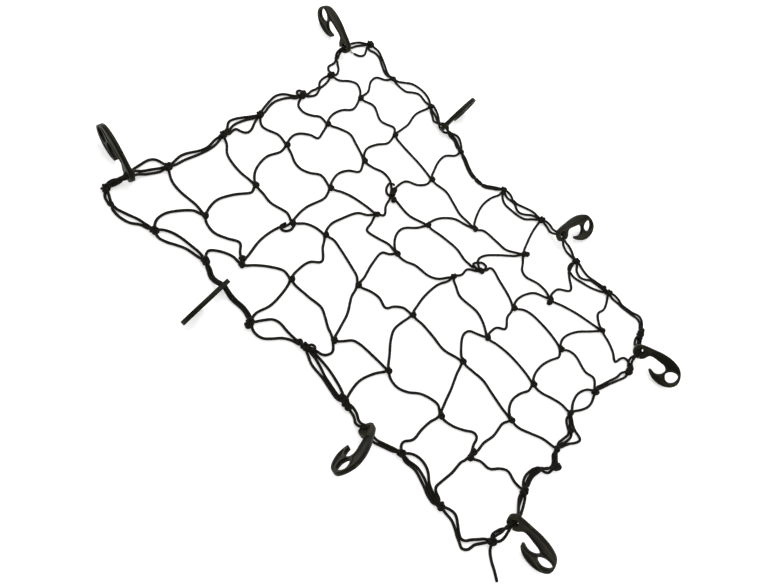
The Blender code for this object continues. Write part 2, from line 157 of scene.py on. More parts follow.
# %% [markdown]
# ## How the mesh is tied
# A net maker does not cut a piece of cord for each side of each mesh. Twelve long cords, called
# courses here, run in steps from the left and far borders towards the near right corner. At a knot
# one course comes from above and leaves to the right, and its neighbour comes from the left, bends
# round it and leaves downwards. So two small tables say everything: where the knots lie, and a few
# places on the way from one knot to the next. Slack elastic cord wanders, so the places are listed
# and not worked out.

# %% Where the knots lie
# Mesh knots, row by row from the far side to the near one, each row from left to right.
KNOTS = [
    [(-217, 149), (-146, 144), (-66, 132), (23, 121), (94, 148), (161, 124), (242, 147)],
    [(-214, 76), (-144, 74), (-86, 66), (-24, 70), (68, 76), (132, 70), (213, 75)],
    [(-222, 5), (-143, 4), (-79, 24), (-24, 2), (47, 38), (131, 6), (212, 4)],
    [(-203, -71), (-138, -73), (-101, -52), (-28, -71), (44, -47), (127, -45), (217, -57)],
    [(-208, -149), (-136, -161), (-86, -129), (0, -147), (69, -126), (149, -120), (205, -132)],
]
# Border knots in which mesh cords end, and the border's four corners.
LEFT_KNOTS = [(-268, 141), (-266, 79), (-275, 8), (-279, -53), (-282, -138)]
RIGHT_KNOTS = [(302, 125), (280, 62), (270, 10), (281, -42), (277, -115)]
FAR_KNOTS = [(-213, 217), (-147, 229), (-69, 206), (12, 210), (80, 218), (155, 206), (218, 205)]
NEAR_KNOTS = [(-228, -207), (-165, -190), (-79, -205), (-18, -179), (58, -193), (141, -189),
              (211, -201)]
FAR_LEFT, FAR_RIGHT, NEAR_RIGHT, NEAR_LEFT = (-275, 236), (287, 190), (279, -188), (-300, -212)
ROWS, COLUMNS = len(LEFT_KNOTS), len(FAR_KNOTS)
print("mesh knots:", ROWS * COLUMNS, "border knots that hold mesh cords:", 2 * (ROWS + COLUMNS))

# %% How the lengthwise strands wander
# Waypoints of the lengthwise strands, one list a row and one entry a strand, from left to right.
ALONG = [
    [[(-256, 146), (-247, 158), (-238, 164), (-228, 160)],
     [(-198, 156), (-174, 145), (-155, 153)],
     [(-130, 140), (-95, 137)],
     [(-40, 134), (-22, 128), (-5, 122), (10, 122)],
     [(33, 130), (55, 132), (72, 133), (84, 141)],
     [(101, 138), (108, 126), (117, 123), (135, 129), (150, 129)],
     [(180, 131), (200, 138), (222, 143)],
     [(258, 141), (271, 133), (280.5, 123.5), (284, 134), (288, 140), (295, 140), (301, 134)]],
    [[(-258, 64), (-246, 62), (-236, 68), (-228, 76)],
     [(-200, 84), (-185, 90), (-170, 85)],
     [(-130, 76), (-116, 82), (-102, 80)],
     [(-72, 62), (-50, 60), (-36, 65)],
     [(0, 73), (25, 75), (42, 71), (56, 72)],
     [(75, 92), (95, 86), (115, 79)],
     [(143, 79), (155, 83), (185, 82), (200, 79)],
     [(222, 82), (233, 84), (256, 76), (270, 78)]],
    [[(-262, -1), (-255, 0), (-240, 7)],
     [(-210, 0), (-198, -6), (-187, -7), (-176, -2), (-164, 8)],
     [(-130, 12), (-116, 18), (-92, 23)],
     [(-75, 8), (-72, -4), (-55, -1), (-40, 4)],
     [(-10, 3), (2, 9), (24, 12), (35, 19)],
     [(58, 30), (70, 23), (100, 24), (115, 18)],
     [(145, 9), (165, 11), (190, 9)],
     [(225, 3), (240, 8), (256, 12)]],
    [[(-268, -57), (-255, -68), (-230, -73)],
     [(-190, -72), (-175, -74), (-152, -68)],
     [(-128, -61), (-117, -55)],
     [(-90, -49), (-75, -52), (-50, -59), (-38, -63)],
     [(-12, -65), (0, -63), (15, -67), (20, -58), (30, -49)],
     [(60, -47), (80, -49), (100, -52)],
     [(145, -45), (160, -44), (180, -49), (200, -54)],
     [(230, -57), (245, -51), (262, -44)]],
    [[(-265, -147), (-250, -149), (-225, -147)],
     [(-198, -155), (-185, -156), (-172, -150), (-158, -142), (-150, -150)],
     [(-127, -150), (-115, -138), (-100, -128)],
     [(-60, -130), (-38, -128), (-28, -133), (-15, -141)],
     [(8, -139), (15, -130), (24, -127), (45, -126)],
     [(79, -132), (90, -133), (102, -128), (114, -118), (127, -113), (138, -112)],
     [(165, -119), (180, -112), (191, -105), (197, -107), (199, -117)],
     [(217, -126), (230, -125), (240, -115), (249, -110), (262, -114)]],
]
print("lengthwise strands:", sum(len(row) for row in ALONG))

# %% How the crosswise strands wander
# Waypoints of the crosswise strands, one list a column and one entry a strand, far to near.
ACROSS = [
    [[(-219, 207), (-229, 199), (-229, 186), (-219, 168)],
     [(-211, 125), (-219, 110), (-221, 92)],
     [(-209, 60), (-206, 47), (-215, 43), (-226, 31), (-228, 20)],
     [(-220, -10), (-225, -30), (-218, -57)],
     [(-199, -82), (-210, -103), (-216, -125)],
     [(-221, -154), (-231, -167), (-238, -183), (-237, -196)]],
    [[(-152, 200), (-147, 175), (-147, 160)],
     [(-144, 124), (-152, 108), (-155, 90)],
     [(-137, 55), (-147, 44), (-152, 30), (-150, 16)],
     [(-138, -14), (-143, -42), (-142, -60)],
     [(-145, -95), (-146, -120), (-141, -143)],
     [(-150, -161), (-163, -167), (-173, -178)]],
    [[(-70, 195), (-79, 181), (-79, 165), (-74, 148)],
     [(-66, 120), (-73, 108), (-88, 97)],
     [(-80, 45), (-72, 32)],
     [(-87, 13), (-96, 6), (-104, -18), (-107, -36)],
     [(-92, -67), (-79, -83), (-88, -95), (-90, -110)],
     [(-81, -150), (-79, -172), (-83, -192)]],
    [[(13, 199), (8, 182), (8, 155)],
     [(9, 115), (-5, 110), (-18, 96), (-24, 82)],
     [(-31, 55), (-43, 38), (-43, 24), (-35, 10)],
     [(-31, -7), (-38, -12), (-36, -35), (-30, -58)],
     [(-24, -88), (-12, -110), (-6, -130)],
     [(8, -159), (4, -169), (-8, -173)]],
    [[(82, 195), (86, 175)],
     [(87, 136), (70, 117), (57, 99), (55, 87)],
     [(53, 62), (53, 50)],
     [(46, 27), (40, 12), (38, -12), (40, -32)],
     [(41, -64), (40, -80), (46, -94), (56, -108)],
     [(60, -140), (53, -160), (54, -178)]],
    [[(154, 195), (160, 180), (175, 161), (160, 145)],
     [(151, 119), (140, 113), (131, 98), (128, 82)],
     [(133, 52), (141, 36), (131, 27)],
     [(117, -1), (108, -6), (106, -16), (113, -30)],
     [(131, -63), (138, -85), (143, -105)],
     [(144, -134), (142, -150), (142, -166), (135, -178)]],
    [[(224, 192), (227, 178), (224, 165), (231, 155)],
     [(229, 131), (216, 115), (208, 98), (207, 86)],
     [(217, 64), (210, 48), (206, 34), (206, 16)],
     [(212, -8), (206, -20), (203, -35), (207, -48)],
     [(211, -68), (211, -90), (207, -106), (207, -118)],
     [(200, -144), (199, -162), (196, -178), (195, -189), (203, -195)]],
]
print("crosswise strands:", sum(len(column) for column in ACROSS))

# %% [markdown]
# ## A smooth line through a few places
# Straight runs with rounded corners look like bent wire. A Catmull-Rom curve goes through every
# place it is given, and its centripetal form makes no loops where the places are uneven. The line
# is then spaced out evenly, because the cord's braid and its bending both want equal steps.

# %% Smooth lines
LINE_STEP = 2.2              # between the points of a cord's line while it settles


def smooth_line(points, step, closed=False):
    """A centripetal Catmull-Rom curve through the points, about one point every `step` mm."""
    points = [np.array(p, float) for p in points]
    if closed:
        padded = [points[-1], *points, points[0], points[1]]
    else:
        padded = [2 * points[0] - points[1], *points, 2 * points[-1] - points[-2]]
    line = []
    for p0, p1, p2, p3 in zip(padded, padded[1:], padded[2:], padded[3:]):
        t1 = np.linalg.norm(p1 - p0) ** 0.5
        t2 = t1 + np.linalg.norm(p2 - p1) ** 0.5
        t3 = t2 + np.linalg.norm(p3 - p2) ** 0.5
        count = max(1, round(np.linalg.norm(p2 - p1) / step))
        for t in np.linspace(t1, t2, count, endpoint=False):
            a1 = (t1 - t) / t1 * p0 + t / t1 * p1
            a2 = (t2 - t) / (t2 - t1) * p1 + (t - t1) / (t2 - t1) * p2
            a3 = (t3 - t) / (t3 - t2) * p2 + (t - t2) / (t3 - t2) * p3
            b1 = (t2 - t) / t2 * a1 + t / t2 * a2
            b2 = (t3 - t) / (t3 - t1) * a2 + (t - t1) / (t3 - t1) * a3
            line.append((t2 - t) / (t2 - t1) * b1 + (t - t1) / (t2 - t1) * b2)
    return np.array(line if closed else line + [points[-1]])


def evenly(line, step):
    """The same line with its points an equal distance apart."""
    along = np.concatenate([[0], np.cumsum(np.linalg.norm(np.diff(line, axis=0), axis=1))])
    at = np.linspace(0, along[-1], max(2, round(along[-1] / step) + 1))
    return np.stack([np.interp(at, along, line[:, k]) for k in range(3)], axis=1)


def toward(start, end, distance):
    """The plan point `distance` from start on the way to end."""
    start, end = np.array(start[:2], float), np.array(end[:2], float)
    return start + (end - start) / np.linalg.norm(end - start) * distance


print("points on a 75 mm side:", len(smooth_line([(0, 0, 0), (40, 8, 0), (75, 0, 0)], LINE_STEP)))

# %% [markdown]
# ## The twelve courses
# Each course is followed from the border knot where it starts. On the way it passes through its
# knots half a knot's height above the floor. The cord between knots lies on the floor.

# %% The courses
KNOT_HEIGHT = 3.4            # the middle of a mesh knot above the floor
BORDER_KNOT_HEIGHT = 4.2
BIGHT_DEPTH = 2.0            # how far a bight's middle stays from the middle of its knot
BIGHT_MOUTH = 8.0            # how far from the knot's middle the bight begins and ends


def side_of_mesh(row, column, way):
    """The first knot, the places between and the last knot; row and column 0 are the border's."""
    if way == "along":
        left = KNOTS[row - 1][column - 1] if column > 0 else LEFT_KNOTS[row - 1]
        right = KNOTS[row - 1][column] if column < COLUMNS else RIGHT_KNOTS[row - 1]
        return left, ALONG[row - 1][column], right
    far = KNOTS[row - 1][column - 1] if row > 0 else FAR_KNOTS[column - 1]
    near = KNOTS[row][column - 1] if row < ROWS else NEAR_KNOTS[column - 1]
    return far, ACROSS[column - 1][row], near


def course(row, column, way):
    """The places that one course runs through, and the knots that are tied in it."""
    start, places, knot = side_of_mesh(row, column, way)
    route, knots = [(*start, BORDER_KNOT_HEIGHT)], []
    while True:
        route += [(*place, CORD_R) for place in places]
        if way == "along":
            column += 1
        else:
            row += 1
        if row > ROWS or column > COLUMNS:
            return route + [(*knot, BORDER_KNOT_HEIGHT)], knots
        came, bight = places[-1], way == "along"
        way = "across" if bight else "along"
        _, places, following = side_of_mesh(row, column, way)
        if bight:
            mouth = toward(knot, came, BIGHT_MOUTH), toward(knot, places[0], BIGHT_MOUTH)
            middle = toward(knot, (mouth[0] + mouth[1]) / 2, BIGHT_DEPTH)
            route += [(*mouth[0], CORD_R), (*middle, KNOT_HEIGHT), (*mouth[1], CORD_R)]
        else:
            route.append((*knot, KNOT_HEIGHT))
            knots.append((knot, came))
        knot = following


COURSE_STARTS = {f"left_{row}": (row, 0, "along") for row in range(1, ROWS + 1)}
COURSE_STARTS |= {f"far_{column}": (0, column, "across") for column in range(1, COLUMNS + 1)}
courses = {name: course(*start) for name, start in COURSE_STARTS.items()}
print("courses:", len(courses), "with", sum(len(knots) for _, knots in courses.values()), "knots")

# %% [markdown]
# ## The hook's outline and how the hooks stand
# Each hook is a flat moulding that stands on its edge, with the bend and the point on the floor and
# the eye held up by nothing but its own shape. Five numbers place one: where its eye is on the
# plan, which way it points, how far it leans over and how far its bend end is raised. The height
# of the eye follows from the outline's lowest point, so the hook always just touches the floor.

# %% The hook's outline
HOOK_THICKNESS = 5.5
OUTLINE_STEP = 3.2           # spacing of the points on a hook's smooth outline
HOOK_EYE = (9.0, 2.0)        # the middle of the hook's eye, along and across the hook
HOOK_EYE_D = 9.0
HOOK_SLIT = 1.6              # the slit through which a cord is clipped into the eye
HOOK_SLIT_ANGLE = -62        # which way the slit leaves the eye, from along towards the spine
HOOK_SLIT_REACH = 14.0       # how far the slit's cutter reaches from the eye's middle
# Outline of a hook, (along, across) in mm: from the eye end over the spine to the bend, round the
# broad point, up the throat and back along the shank. A smooth closed curve runs through it.
HOOK_OUTLINE = [
    (0, 2), (3, 8.7), (10, 11.7), (22, 14.2), (37, 17), (53, 17), (66.5, 12.7), (75, 3),
    (77, -7), (72, -14.6), (62.5, -19), (50.5, -19.5), (41, -16.5), (34.5, -11.2), (36, -9.3),
    (42, -10.7), (47.5, -10.2), (52.5, -6), (53.5, 0), (48.5, 4), (39, 5), (23, 4.2),
    (18.5, -3.6), (12, -7.8), (4, -6),
]
HOOK_HOLE = [(55, -3), (59.5, -9.4), (68, -10.8), (73.5, -5.4), (73, 2.4), (66, 4.8), (58.5, 2.4)]

print("outline points:", len(HOOK_OUTLINE), "and round the hole:", len(HOOK_HOLE))

# %% Where the hooks stand
HOOKS = {
    # name: (x and y of the eye, heading, lean, pitch), mm and degrees
    "far_left": (-287, 188, 166, -4, 9),
    "near_left": (-294, -185, 168, 2, 9),
    "near_1": (-129, -199, -82, 12, 17),
    "near_2": (96, -200, -81, 32, 20),
    "near_right": (281, -162, -4, 21, -5),
    "far_right": (295, 154, 11, 44, 0),
    "far_2": (114, 212, 74, 57, -2),
    "far_1": (-110, 213, 90, -4, 12),
}


def smooth_loop(outline, step=OUTLINE_STEP):
    """A smooth closed curve through an outline's points, as (along, across)."""
    return [tuple(p) for p in smooth_line(outline, step, closed=True)]


def hook_axes(name):
    """A hook's unit vectors: along it, across it towards its spine, and through its eye."""
    turn, lean, lift = (math.radians(a) for a in HOOKS[name][2:])
    level = Vector((math.cos(turn), math.sin(turn), 0))
    left = Vector((-math.sin(turn), math.cos(turn), 0))
    up = Vector((0, 0, 1))
    along = level * math.cos(lift) + up * math.sin(lift)
    across = (up * math.cos(lift) - level * math.sin(lift)) * math.cos(lean) + left * math.sin(lean)
    return along, across, along.cross(across)


def hook_eye(name):
    """The middle of a hook's eye on the plan, at the height at which the hook stands."""
    along, across, through = hook_axes(name)
    lowest = min(
        (a - HOOK_EYE[0]) * along.z + (c - HOOK_EYE[1]) * across.z
        for a, c in smooth_loop(HOOK_OUTLINE)
    )
    return Vector((*HOOKS[name][:2], HOOK_THICKNESS / 2 * abs(through.z) - lowest))


for name in HOOKS:
    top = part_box("hook_" + name)[1].z / MM
    print(name, "eye at", round(hook_eye(name).z, 1), "mm, top at", round(top, 1), "mm")

# %% [markdown]
# ## The border
# The border is made of cords laid loosely together and threaded through the hooks' eyes. Between
# knots they spread, cross and throw small loops, which is what makes a real net look used. So each
# stretch, from its knot to the knot of the next stretch, lists every cord in it, with the places
# where that cord wanders. A place's third number is its height, where it leaves the floor. A word
# in the list is the hook whose eye the cord goes through.

# %% The far border's cords
# Every entry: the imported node, the knot where the stretch begins, and the cords in it.
FAR_BORDER = [
    ("border_far_1", FAR_LEFT, [
        [(-262, 240), (-250, 235), (-237, 227.5), (-224, 219.5)],
        [(-270, 228), (-262, 232), (-252, 231.5), (-240, 224), (-226, 216.5)]]),
    ("border_far_1", FAR_KNOTS[0], [
        [(-205, 223), (-198, 231), (-190, 239), (-172, 243), (-157, 239)],
        [(-202, 217), (-187, 219), (-180, 227), (-172, 233), (-160, 231)]]),
    ("border_far_2", FAR_KNOTS[1], [
        [(-148, 236), (-140, 234), (-130, 228), (-121, 219, 9), "far_1", (-98, 221, 8), (-88, 225),
         (-79, 220), (-72, 213)],
        [(-141, 224), (-134, 219), (-126, 213, 7), "far_1", (-97, 213, 8), (-88, 215), (-79, 210)],
        [(-143, 227), (-134, 225), (-122, 217, 8), "far_1", (-98, 217, 8), (-88, 218),
         (-78, 212)]]),
    ("border_far_2", FAR_KNOTS[2], [
        [(-58, 204), (-45, 196.5), (-34, 191.5), (-22, 188), (-12, 191), (0, 202)],
        [(-60, 202), (-46, 193.5), (-34, 188.5), (-22, 189.5), (-10, 190), (2, 200)]]),
    ("border_far_3", FAR_KNOTS[3], [
        [(20, 214), (28, 212), (33, 208), (39, 209), (50, 214), (65, 220)],
        [(20, 206), (27, 205), (36, 208), (42, 203), (50, 200), (58, 205), (67, 214)],
        [(16, 203), (20, 198), (28, 193), (40, 193), (55, 195), (63, 199), (70, 208)]]),
    ("border_far_3", FAR_KNOTS[4], [
        [(87, 224), (95, 224), (103, 217, 10), "far_2", (127, 216, 13), (134, 219, 6), (142, 216),
         (149, 210)],
        [(86, 218), (94, 217), (102, 211, 9), "far_2", (126, 208, 13), (134, 208, 7), (142, 208)]]),
    ("border_far_4", FAR_KNOTS[5], [
        [(162, 208), (170, 205), (180, 203), (195, 205), (208, 208)],
        [(160, 203), (165, 195), (174, 191), (182, 195), (189, 201), (200, 203), (210, 204)],
        [(154, 200), (153, 192), (158, 185), (168, 183), (180, 186), (195, 191), (208, 198)]]),
    ("border_far_4", FAR_KNOTS[6], [
        [(225, 211), (235, 211), (245, 207), (254, 209), (262, 211), (272, 215),
         (279, 212), (284, 203)],
        [(226, 204), (240, 205), (250, 206), (262, 207), (272, 209), (279, 206), (283, 199)]]),
]
print("stretches of the far border:", len(FAR_BORDER))

# %% The right border's cords
RIGHT_BORDER = [
    ("border_right_1", FAR_RIGHT, [
        [(294, 181), (296, 173), (297, 165, 12), "far_right", (298, 141, 12), (302, 134)],
        [(286, 180), (288, 173), (290, 165, 12), "far_right", (293, 142, 12), (298, 133)],
        [(291, 180), (293, 172), (294, 165, 10), "far_right", (296, 142, 10), (300, 134)]]),
    ("border_right_1", RIGHT_KNOTS[0], [
        [(296, 118), (294, 107), (288, 92), (283, 78), (280, 70)],
        [(303, 117), (299, 107), (292, 92), (285.5, 77), (282, 70)]]),
    ("border_right_2", RIGHT_KNOTS[1], [
        [(272, 58), (266, 48), (264, 38), (266, 25), (269, 18)],
        [(283, 55), (285, 47), (284, 37), (278, 25), (273, 18)]]),
    ("border_right_2", RIGHT_KNOTS[2], [
        [(271, 0), (277, -6), (283, -12), (281, -24), (279, -34)],
        [(276, 2), (281, -5), (287, -12), (286, -24), (283, -34)],
        [(278, 4), (286, -2), (299, -7), (297, -14), (289, -25), (283, -35)]]),
    ("border_right_3", RIGHT_KNOTS[3], [
        [(286, -50), (292, -58), (291, -66), (288, -75), (280, -77), (272, -85),
         (269, -99), (272, -108)],
        [(282, -50), (288, -60), (287, -68), (279, -77), (275, -86), (274, -96), (276, -106)],
        [(284, -50), (290, -60), (289, -66), (281, -75), (276.5, -86), (275.5, -96), (277, -106)]]),
    ("border_right_3", RIGHT_KNOTS[4], [
        [(276, -122), (280, -132, 7), (283, -144, 17), "near_right", (286, -176, 17),
         (285, -183, 7)],
        [(282, -119), (286, -128, 6), (287, -142, 17), "near_right", (276, -177, 17),
         (275, -184, 7)],
        [(279, -121), (281.5, -131, 6), (285, -144, 15), "near_right",
         (278.5, -177, 15), (277.5, -184, 6)]]),
]
print("stretches of the right border:", len(RIGHT_BORDER))

# %% The near border's cords
NEAR_BORDER = [
    ("border_near_1", NEAR_RIGHT, [
        [(272, -191), (266, -197), (260, -203), (255, -209), (249, -211), (240, -203), (230, -195),
         (220, -196)],
        [(272, -197), (266, -205), (263, -214), (257, -218), (250, -214), (240, -208), (230, -203),
         (219, -202)]]),
    ("border_near_1", NEAR_KNOTS[6], [
        [(203, -197), (195, -195), (186, -190), (178, -182), (170, -178), (160, -177), (151, -180)],
        [(203, -200), (194, -199), (180, -191), (165, -187), (152, -189)],
        [(203, -204), (194, -202), (180, -196), (165, -191), (152, -192)]]),
    ("border_near_2", NEAR_KNOTS[5], [
        [(131, -191), (120, -195), (110, -198.6, 7), "near_2", (83, -197, 6), (76, -192),
         (66, -190)],
        [(131, -194.6), (120, -198.6), (110, -202.2, 7), "near_2", (83, -202, 6),
         (76, -197), (67, -195)]]),
    ("border_near_2", NEAR_KNOTS[4], [
        [(48, -186), (30, -180), (15, -177), (0, -176), (-9, -176)],
        [(48, -192.5), (35, -190), (22, -187), (10, -182.5), (-9, -178)],
        [(49, -196), (35, -193.5), (22, -190.5), (2, -188), (-9, -183)]]),
    ("border_near_3", NEAR_KNOTS[3], [
        [(-33, -180), (-45, -180), (-57, -179), (-65, -182), (-71, -190), (-75, -197)],
        [(-33, -184), (-42, -190), (-50, -200), (-57, -207), (-67, -209)]]),
    ("border_near_3", NEAR_KNOTS[2], [
        [(-84, -199), (-94, -196.5), (-112, -197, 6), "near_1", (-146, -196.5, 6), (-156, -191.5)],
        [(-86, -202), (-96, -199), (-112, -200.3, 6), "near_1", (-146, -199.5, 6),
         (-156, -194.5)]]),
    ("border_near_4", NEAR_KNOTS[1], [
        [(-175, -187), (-190, -188), (-205, -190), (-217, -194), (-225, -200)],
        [(-175, -192), (-190, -195), (-200, -200), (-210, -206), (-220, -209)]]),
    ("border_near_4", NEAR_KNOTS[0], [
        [(-237, -208), (-249, -210), (-261, -215), (-279, -221), (-291, -220)],
        [(-236, -210), (-243, -213), (-253, -221), (-271, -224), (-283, -219), (-293, -214)]]),
]
print("stretches of the near border:", len(NEAR_BORDER))

# %% The left border's cords
LEFT_BORDER = [
    ("border_left_1", NEAR_LEFT, [
        [(-301, -204), (-299.5, -197, 8), "near_left", (-301, -174, 9), (-303, -158), (-302, -147),
         (-297, -141)],
        [(-298, -203), (-296, -197, 8), "near_left", (-297, -174, 9), (-293, -160), (-288, -149)],
        [(-304, -205), (-303, -197, 8), "near_left", (-293, -173, 9), (-288, -161), (-283, -149)]]),
    ("border_left_1", LEFT_KNOTS[4], [
        [(-284, -128), (-286, -115), (-284, -105), (-279, -92), (-277, -80), (-280, -64)],
        [(-280, -128), (-279, -115), (-276, -100), (-274, -85), (-274, -72), (-276, -62)]]),
    ("border_left_2", LEFT_KNOTS[3], [
        [(-282, -43), (-290, -32), (-289, -22), (-284, -10), (-279, 0)],
        [(-280, -43), (-283, -30), (-281, -15), (-277, -2)],
        [(-277, -43), (-277, -32), (-270, -29), (-265, -24), (-266, -15), (-270, -7), (-273, 0)]]),
    ("border_left_2", LEFT_KNOTS[2], [
        [(-279, 16), (-282, 26), (-285, 39), (-286, 50), (-282, 61), (-273, 70)],
        [(-275, 17), (-278, 27), (-280, 40), (-278, 52), (-273, 64), (-268, 70)]]),
    ("border_left_3", LEFT_KNOTS[1], [
        [(-264, 88), (-265, 98), (-263, 108), (-262, 118), (-264, 131)],
        [(-260, 89), (-257, 98), (-261, 109), (-269, 119), (-271, 131)]]),
    ("border_left_3", LEFT_KNOTS[0], [
        [(-265, 150), (-270, 160), (-279, 167), (-289, 175, 10), "far_left", (-292, 203, 10),
         (-291, 216), (-286, 227)],
        [(-275, 145), (-281, 150), (-281, 160), (-282, 168),
         (-285, 175, 10), "far_left", (-286, 203, 10), (-285, 215), (-280, 227)]]),
]
print("stretches of the left border:", len(LEFT_BORDER))

# %% Loops and free ends
BORDER = FAR_BORDER + RIGHT_BORDER + NEAR_BORDER + LEFT_BORDER    # once round, back to the start
# Small loops thrown at a knot, and the two ends that were left free.
LOOPS = [
    [(-16, -175), (-13, -170), (-8, -172), (-10, -178)],
    [(-267, 84), (-274, 85), (-275, 78), (-268, 76)],
    [(-92, 78), (-99, 76), (-98, 68), (-92, 61), (-85, 60)],
    [(64, 73), (54, 73), (56, 82), (62, 88), (69, 88), (72, 80)],
    [(-135, -72), (-133, -82), (-138, -90), (-143, -89), (-142, -80)],
]
TAILS = {
    "tail_far": [(-275, 231), (-271, 223), (-267, 214), (-270, 206), (-278, 202)],
    "tail_near": [(280, -189), (283, -196), (291, -204), (300, -210), (309, -217)],
}
print("cords in the border's stretches:", sum(len(cords) for *_, cords in BORDER))

# %% [markdown]
# ## Letting the cords settle
# The plan says where each cord goes but not which lies on top. Real cords sort that out by
# themselves: they sink to the floor, push each other aside or climb over one another, and stay
# stiff enough not to kink. Two hundred small steps of just those three rules do the same. Points
# that something holds, in a knot or in a hook's eye, don't move. A full cloth simulation would be
# slower and would move the cords away from the places that they were given.

# %% How a cord passes an eye
EYE_REACH = 3.8              # a cord runs straight this far to each side of a hook's eye
EYE_CLIMB = 0.75             # how much of a leaning eye's slope the cords through it take
EYE_PACKS = {
    # how many cords share an eye: where each lies in it, (across, along) in cord diameters
    2: [(0.55, 0.0), (-0.55, 0.0)],
    3: [(0.6, 0.0), (-0.35, 0.55), (-0.35, -0.55)],
}
LIFT = 0.8                   # how much one cord of a pair starts above the other, mm
LIFT_WAVE = 45.0             # over this length the two change places


def through_eye(name, travel, pack):
    """Three points that carry one cord of a bundle through a hook's eye."""
    along, across, through = hook_axes(name)
    if through.x * travel[0] + through.y * travel[1] < 0:
        through = -through
    climb = math.asin(through.z) * EYE_CLIMB
    way = Vector((through.x, through.y, 0)).normalized() * math.cos(climb)
    way.z = math.sin(climb)
    middle = hook_eye(name) + (across * pack[0] + along * pack[1]) * CORD_D
    return [tuple(middle + way * reach) for reach in (-EYE_REACH, 0, EYE_REACH)]


def border_route(start, end, places, pack):
    """One border cord's places in three dimensions, from knot to knot."""
    route = [(*start, BORDER_KNOT_HEIGHT)]
    for k, place in enumerate(places):
        if isinstance(place, str):
            travel = np.subtract(places[k + 1][:2], places[k - 1][:2])
            route += through_eye(place, travel, pack)
        else:
            route.append((*place[:2], place[2] if len(place) == 3 else CORD_R))
    return route + [(*end, BORDER_KNOT_HEIGHT)]


def nearest_cord(place, kind=""):
    """The piece, of those whose names begin with `kind`, whose cord passes nearest to a place."""
    def distance(name):
        return min(np.linalg.norm(line[:, :2] - place, axis=1).min() for line in lines[name])
    return min((name for name in lines if name.startswith(kind)), key=distance)


def eased(places):
    """A smooth line of evenly spaced points through the places."""
    return evenly(smooth_line(places, LINE_STEP), LINE_STEP)


print("a cord's three points in an eye:", len(through_eye("far_1", (1, 0), (0, 0))))

# %% Make a line for each cord
lines = {}                   # node: its cords' lines
for name, (route, _) in courses.items():
    lines["course_" + name] = [eased(route)]
for (node, start, cords), (_, end, _) in zip(BORDER, BORDER[1:] + BORDER[:1]):
    for k, places in enumerate(cords):
        pack = EYE_PACKS[len(cords)][k]
        line = eased(border_route(start, end, places, pack))
        wave = np.arange(len(line)) * LINE_STEP / LIFT_WAVE * 2 * math.pi + k * math.pi
        line[:, 2] += LIFT * (1 + np.sin(wave))
        lines.setdefault(node, []).append(line)
for places in LOOPS:
    first, *between, last = places
    thrown = [(*first, KNOT_HEIGHT), *((*place, CORD_R) for place in between), (*last, KNOT_HEIGHT)]
    lines[nearest_cord(first)].append(eased(thrown))
for name, places in TAILS.items():
    route = [(*places[0], BORDER_KNOT_HEIGHT), *((*place, CORD_R) for place in places[1:])]
    lines[name] = [eased(route)]
print("cords:", sum(len(group) for group in lines.values()),
      "points:", sum(len(line) for group in lines.values() for line in group))

# %% The strength of the three rules
border_knots = {start for _, start, _ in BORDER}
KNOT_REACH = 6.5             # inside this distance of a knot the cords are tied and don't push
SINK = 0.05                  # how far a loose point drops in one step, mm
STIFFNESS = 0.5              # how strongly a cord evens out its own bends upwards
HOLD = 0.12                  # how strongly a point is drawn back to its place on the plan
PUSH = 0.25                  # the share of a squeeze that one step pushes out of each cord
PUSH_LONGEST = CORD_R / 2    # and the most that it may move a point
CLIMB = 0.3                  # how much further up the later of two crossing cords is pushed
OWN_LENGTH = 3 * CORD_D      # points of one cord that are nearer than this don't push each other
SINK_STEPS, PUSH_STEPS = 160, 45
print("steps:", SINK_STEPS + PUSH_STEPS, "knots in the border:", len(border_knots))


# %% Push the cords apart
def push_apart(place, owner, tied, held):
    """Move any two points that are nearer than a cord's diameter away from each other."""
    tree = KDTree(len(place))
    for k, point in enumerate(place):
        tree.insert(point, k)
    tree.balance()
    shift = np.zeros_like(place)
    for k in np.flatnonzero(~tied):
        for _, other, gap in tree.find_range(place[k], CORD_D):
            same = owner[other] == owner[k] and abs(other - k) * LINE_STEP < OWN_LENGTH
            if other == k or tied[other] or same:
                continue
            away = place[k] - place[other]
            away[2] += CLIMB if owner[k] > owner[other] else -CLIMB
            share = 2 * PUSH if held[other] else PUSH
            shift[k] += away / np.linalg.norm(away) * (CORD_D - gap) * share
    length = np.linalg.norm(shift, axis=1)
    limit = np.minimum(1, PUSH_LONGEST / np.maximum(length, 1e-9))
    loose = ~held & ~tied
    place[loose] += (shift * limit[:, None])[loose]


print("a squeeze of 1 mm opens by", 2 * PUSH, "mm in one step")


# %% Settle them
def settle(lines):
    """Sink the cords to the floor and push them apart where they cross; gives their new places."""
    place = np.concatenate(lines)
    plan = place[:, :2].copy()
    owner = np.concatenate([np.full(len(line), k) for k, line in enumerate(lines)])
    knots = np.array([*sum(KNOTS, []), *border_knots])
    eyes = np.array([tuple(hook_eye(name)) for name in HOOKS])
    from_knot = np.linalg.norm(place[:, None, :2] - knots, axis=2).min(axis=1)
    from_eye = np.linalg.norm(place[:, None] - eyes, axis=2).min(axis=1)
    tied = from_knot < KNOT_REACH
    held = (from_knot < CORD_R) | (from_eye < EYE_REACH)
    inner = np.zeros(len(place), bool)
    inner[1:-1] = (owner[:-2] == owner[1:-1]) & (owner[1:-1] == owner[2:])
    loose = np.flatnonzero(inner & ~held)
    for step in range(SINK_STEPS + PUSH_STEPS):
        height = place[:, 2]
        middle = (height[loose - 1] + height[loose + 1]) / 2
        height[loose] += STIFFNESS * (middle - height[loose]) - SINK
        if step >= SINK_STEPS:
            place[loose, :2] += HOLD * (plan[loose] - place[loose, :2])
            push_apart(place, owner, tied, held)
        place[:, 2] = np.maximum(place[:, 2], CORD_R)
    return np.split(place, np.cumsum([len(line) for line in lines])[:-1])


